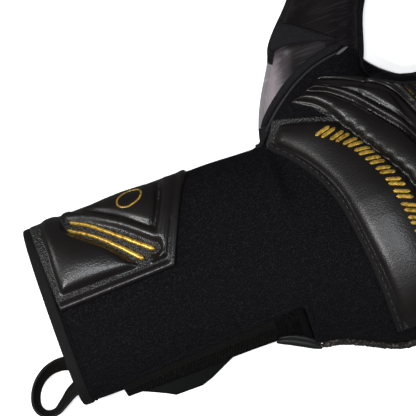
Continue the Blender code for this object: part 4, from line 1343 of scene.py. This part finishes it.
curls = cloth("hook_curls", (0.002, 0.002, 0.0022), (0.03, 0.029, 0.03), scale=4200.0, specks=0.5, roughness=0.6,
              bump=0.8, specular=0.08)
near, far = strip_lines(-18.3, -7.6, 0.4)
curl_patch = relief_pad("slit_end_curls", near, far, gusset_spot, curl_height, 0.28, curls, sink=0.8)
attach(curl_patch, "hand")
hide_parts("slit_end_patch")

END_BAR_X, END_BAR_HALF = -5.9, 2.15


def bar_height(x, y):
    return 1.0 + 1.3 * np.sqrt(np.maximum(1 - ((x - END_BAR_X) / END_BAR_HALF) ** 2, 0.05))


near, far = strip_lines(-8.0, -3.8, 0.3)
bar_cloth = cloth("slit_bar_cloth", (0.003, 0.0028, 0.003), (0.014, 0.013, 0.0135), scale=2800.0, roughness=0.7,
                  specular=0.05)
end_bar = relief_pad("slit_end_binding", near, far, gusset_spot, bar_height, 0.4, bar_cloth, sink=0.8)
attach(end_bar, "hand")
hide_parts("slit_end_bar")

# ---------------------------------------------------------------- the rolled heel and the cut foam edge
# Below the slit's end the underside's edge is rolled over twice and sewn. From there on the palm's foam stands out
# past the back all along the little finger's side, with its rough cut edge showing.


def rolled_cloth(made, path, radius, sides=12):
    """Adds a round roll along points in space, which closes at both ends."""
    rows = []
    for i, p in enumerate(path):
        ahead = (path[min(i + 1, len(path) - 1)] - path[max(i - 1, 0)]).normalized()
        aside = ahead.cross(Vector((0, 0, 1))).normalized()
        up = aside.cross(ahead)
        share = min(max(i / (len(path) - 1), 0.02), 0.98)
        here = radius * math.sin(math.pi * share) ** 0.35
        rows.append([p + aside * here * math.cos(t) + up * here * math.sin(t) for t in round_turns(sides)])
    loft(made, rows)


def space_curve(points, step=1.0):
    return curve_through([Vector(p) for p in points], step)


smooth_binding = cloth("smooth_binding", (0.009, 0.009, 0.0095), (0.028, 0.027, 0.028), scale=2400.0, specks=0.3,
                       roughness=0.42, bump=0.2)
heel = bmesh.new()
rolled_cloth(heel, space_curve([(-19.5, -42.5, 9.5), (-14, -44.2, 10.0), (-8, -47.4, 10.8), (-2, -51.6, 11.5)]), 2.1)
rolled_cloth(heel, space_curve([(-18.0, -41.6, 12.4), (-12, -43.2, 13.0), (-7, -46.0, 13.6), (-2, -50.0, 13.8)]), 1.45)
heel_roll = closed_piece("heel_roll", heel, smooth_binding)
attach(heel_roll, "hand")

EDGE_FROM, EDGE_TO, EDGE_COUNT, EDGE_SIDES = -2.5, 99.5, 240, 14
EDGE_OUT, EDGE_HALF, EDGE_HIGH, EDGE_MIDDLE = 1.1, 1.5, 2.3, 11.6
edge_rows = []
for i, x in enumerate(np.linspace(EDGE_FROM, EDGE_TO, EDGE_COUNT)):
    y = between(LITTLE_SIDE, x)
    taper = min(1.0, 0.45 + i / 14, 0.3 + (EDGE_COUNT - 1 - i) / 10)
    row = []
    for t in round_turns(EDGE_SIDES):
        across, up = squared(math.cos(t), 0.6), squared(math.sin(t), 0.6)
        rough = 0.42 * noise.noise(Vector((x * 0.9, t * 1.5, 1.0))) + 0.3 * noise.noise(Vector((x * 2.7, t * 3, 5.0)))
        row.append((x, y - EDGE_OUT - (EDGE_HALF + rough) * across * taper,
                    EDGE_MIDDLE + (EDGE_HIGH + rough) * up * taper))
    edge_rows.append(row)
edge_made = bmesh.new()
loft(edge_made, edge_rows)
cut_foam = cloth("cut_foam", (0.014, 0.012, 0.011), (0.16, 0.135, 0.115), scale=900.0, specks=0.75, roughness=0.75,
                 bump=1.0, depth=0.0006)
foam_edge = closed_piece("cut_foam_edge", edge_made, cut_foam)
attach(foam_edge, "hand")
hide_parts("latex_edge_strip")

# ---------------------------------------------------------------- the strap and its tab
# An elastic band sewn to the underside of the cuff, with a moulded rubber tab at its free end. The tab carries
# the hooks that grip the loop patch, and its point sticks out beside the cuff.


def plate(name, outline, low, high, soften_by, finish, cuts=()):
    """A flat piece with rounded edges; cuts are places along y where it has lines to bend at."""
    made = bmesh.new()
    face = made.faces.new([made.verts.new(Vector((x, y, low)) * MM) for x, y in outline])
    grown = bmesh.ops.extrude_face_region(made, geom=[face])
    for vertex in (v for v in grown["geom"] if isinstance(v, bmesh.types.BMVert)):
        vertex.co.z = high * MM
    for y in cuts:
        bmesh.ops.bisect_plane(made, geom=made.verts[:] + made.edges[:] + made.faces[:], dist=1e-7,
                               plane_co=(0, y * MM, 0), plane_no=(0, 1, 0))
    bmesh.ops.recalc_face_normals(made, faces=made.faces)
    piece = mesh_object(name, made)
    rounder = piece.modifiers.new("rounder", "BEVEL")
    rounder.width, rounder.segments = soften_by * MM, 3
    rounder.limit_method = "ANGLE"
    return dressed(settled(piece), finish, 50)


STRAP_X, STRAP_Y, STRAP_Z = zip(low_of("strap_band"), high_of("strap_band"))
TAB_TIP = low_of("strap_tab").y + 1.8


def webbing_finish():
    """Elastic webbing: ribs across it, slightly uneven."""
    made = plain("elastic_webbing", (0.016, 0.016, 0.017), 0.7)
    tree = made.node_tree
    shader = tree.nodes["Principled BSDF"]
    place = node(tree, "TexCoord")
    rib = node(tree, "TexWave", {"Scale": 320.0, "Distortion": 1.2}, bands_direction="Y")
    mix = node(tree, "Mix", {"A": (0.005, 0.005, 0.0053, 1), "B": (0.024, 0.0235, 0.024, 1)}, data_type="RGBA")
    relief = node(tree, "Bump", {"Strength": 0.7, "Distance": 0.0004})
    wire(tree, (place.outputs["Object"], rib.inputs["Vector"]), (rib.outputs["Fac"], mix.inputs["Factor"]),
         (mix.outputs["Result"], shader.inputs["Base Color"]), (rib.outputs["Fac"], relief.inputs["Height"]),
         (relief.outputs["Normal"], shader.inputs["Normal"]))
    return made


band = plate("strap_webbing", [(STRAP_X[0], STRAP_Y[0]), (STRAP_X[1], STRAP_Y[0]), (STRAP_X[1], STRAP_Y[1]),
                               (STRAP_X[0], STRAP_Y[1])], *STRAP_Z, 0.5, webbing_finish(),
             cuts=[STRAP_Y[1] - 0.7 * i for i in range(1, 7)])
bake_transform(band)
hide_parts("strap_band")

tab_rubber = leather("tab_rubber", (0.0013, 0.0013, 0.0014), (0.0036, 0.0036, 0.0038), 1100.0, 0.5, 0.5, 0.66,
                     specular=0.05)
tab_side = TAB_TIP + 8.6
root = high_of("strap_tab").y
tab_outline = [(STRAP_X[0], root), (STRAP_X[0], tab_side), (STRAP_X[0] + 14, TAB_TIP + 2.2),
               (STRAP_X[0] + 18, TAB_TIP), (STRAP_X[1] - 20, TAB_TIP), (STRAP_X[1] - 15, TAB_TIP + 1.6),
               (STRAP_X[1], tab_side), (STRAP_X[1], root)]
tab = plate("strap_tab_moulding", tab_outline, *STRAP_Z, 0.7, tab_rubber, cuts=[root - 0.6 * i for i in range(1, 6)])
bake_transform(tab)
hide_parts("strap_tab")
x0, x1 = STRAP_X[0] + 4, STRAP_X[1] - 4
for name, y0, y1 in (("strap_tab_rib_long", root - 5.0, root - 3.2), ("strap_tab_rib_short", root - 9.0, root - 7.2)):
    bar = plate(name, [(x0, y0), (x1, y0), (x1, y1), (x0, y1)], STRAP_Z[0] - 0.25, STRAP_Z[0] + 0.4, 0.2, tab_rubber)
    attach(bar, "strap_tab")

# ---------------------------------------------------------------- the pull loop
# A ribbed ribbon, doubled and sewn flat under the cuff's mouth. It stands out as a loop that lies nearly flat
# beside the cuff and leans further and further up on edge towards its far end.

# Where the ribbon's middle runs, and how far its width leans up from the table, in degrees.
loop_stations = [
    ((-103.5, -21.5, 6.4), 26), ((-110, -19.8, 7.2), 44), ((-116.2, -20.6, 7.4), 58), ((-121.6, -24.0, 6.8), 66),
    ((-125.0, -29.0, 6.0), 70), ((-125.8, -34.0, 5.4), 70), ((-123.4, -37.6, 5.2), 70), ((-118.8, -38.2, 5.2), 66),
    ((-114.2, -35.6, 5.4), 56), ((-109.4, -32.4, 5.6), 42), ((-103.5, -30.4, 5.8), 26)]
loop_path = space_curve([p for p, _ in loop_stations], 0.6)
loop_shares = np.linspace(0, len(loop_stations) - 1, len(loop_path))
loop_leans = np.interp(loop_shares, range(len(loop_stations)), [lean_at for _, lean_at in loop_stations])
RIBBON_HALF, RIBBON_THICK = 3.7, 0.75
RIB_DEEP, RIB_STEP = 0.10, 1.1
loop_rows = []
for i, (p, lean_at) in enumerate(zip(loop_path, loop_leans)):
    ahead = (loop_path[min(i + 1, len(loop_path) - 1)] - loop_path[max(i - 1, 0)]).normalized()
    level = Vector((-ahead.y, ahead.x, 0)).normalized()
    wide = level * math.cos(math.radians(lean_at)) - Vector((0, 0, 1)) * math.sin(math.radians(lean_at))
    thick = ahead.cross(wide).normalized()
    row = []
    for t in round_turns(24):
        across = squared(math.cos(t), 0.35)
        ridge = RIB_DEEP * math.cos(across * RIBBON_HALF * 2 * math.pi / RIB_STEP)
        spot = p + wide * RIBBON_HALF * across + thick * squared(math.sin(t), 0.5) * (RIBBON_THICK + ridge)
        row.append((spot.x, spot.y, max(spot.z, 0.25)))
    loop_rows.append(row)
loop_made = bmesh.new()
loft(loop_made, loop_rows)
ribbon = cloth("ribbed_ribbon", (0.0026, 0.0022, 0.0020), (0.040, 0.033, 0.029), scale=2600.0, specks=0.6,
               roughness=0.5, bump=0.7, specular=0.2)
loop_piece = closed_piece("pull_loop_ribbon", loop_made, ribbon, 60)
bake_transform(loop_piece)
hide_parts("pull_loop")

loop_root = plate("pull_loop_seat", [(-106.4, -34.5), (-98.5, -34.5), (-98.5, -17.5), (-106.4, -17.5)], 4.4, 5.6, 0.4,
                  ribbon)
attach(loop_root, "hand")
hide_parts("pull_loop_root")

# ---------------------------------------------------------------- the finger pads
# Each finger's back carries two small pressed pads, one for each bone, with two grooves across them; the thumb has
# one at its tip. They are the same leather and foam as the hand's pads and are sewn on by a narrow flat edge.


PAD_CORNER, PAD_SHARE, PAD_WAVES = 5.0, 0.74, 3


def stall_pad(name, stands_for, body, place, half_at, start, end):
    """A pad along a finger or thumb, with rounded corners, between two distances from its joint."""
    sides = {-1: [], 1: []}
    for along in np.linspace(start, end, 40):
        near_end = min(along - start, end - along)
        trim = PAD_CORNER * (1 - math.sqrt(max(1 - max(1 - near_end / PAD_CORNER, 0) ** 2, 0)))
        for side in sides:
            x, y, _ = place(along, side * (half_at(along) * PAD_SHARE - trim), 0)
            sides[side].append(Vector((x, y)))
    left, right = sides[-1], sides[1]
    outline = left + right[::-1]
    ends = [Vector(place(along, 0, 0)[:2]) for along in (start, end)]
    ahead = (ends[1] - ends[0]).normalized()
    length = end - start

    def height(x, y):
        base = edge_round(x, y, outline, 1.1, 0.8)
        depth = depth_in(outline, x, y)
        along = (x - ends[0].x) * ahead.x + (y - ends[0].y) * ahead.y
        waves = np.abs(np.sin(along / length * PAD_WAVES * math.pi)) ** 0.45
        inside = np.clip((depth - 1.6) / 2.2, 0, 1)
        return base + 2.5 * np.sqrt(np.maximum(1 - (1 - inside) ** 2, 0)) * (0.35 + 0.65 * waves)

    piece = relief_pad(name, left, right, plan_spot, height, 0.75, pad_leather, flange_leather, flange_top=1.0)
    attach(piece, body)
    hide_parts(stands_for)


for name, size in FINGERS.items():
    for stretch, start, end in (("base", 2.5, size["middle"] - 2.5),
                                ("tip", size["middle"] + 2.5, size["length"] - size["half"] * 0.75)):
        stall_pad(f"{name}_{stretch}_leather", f"{name}_{stretch}_pad", f"{name}_{stretch}", finger_place(size),
                  lambda along, size=size: size["half"], start, end)
stall_pad("thumb_tip_leather", "thumb_tip_pad", "thumb_tip", thumb_place, thumb_half, THUMB_MIDDLE + 3.0,
          THUMB_LENGTH - 9.0)

# ---------------------------------------------------------------- the inside
# Thin foam backs the palm's latex, and the closure has a patch of hooks on the tab and one of looped pile on the
# cuff, with the strap's end sewn down beside it. These keep the solid model's shapes and get finishes only.

kept_finishes = {
    "palm_backing": cloth("backing_foam", (0.05, 0.048, 0.046), (0.12, 0.115, 0.11), scale=1200.0, bump=0.8),
    "hook_patch": curls,
    "loop_patch": cloth("loop_pile", (0.012, 0.012, 0.0125), (0.07, 0.07, 0.072), scale=3400.0, specks=0.8, bump=1.0),
    "strap_anchor": binding,
}
for kept, finish in kept_finishes.items():
    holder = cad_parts[kept]
    holder.data.materials.clear()
    holder.data.materials.append(finish)
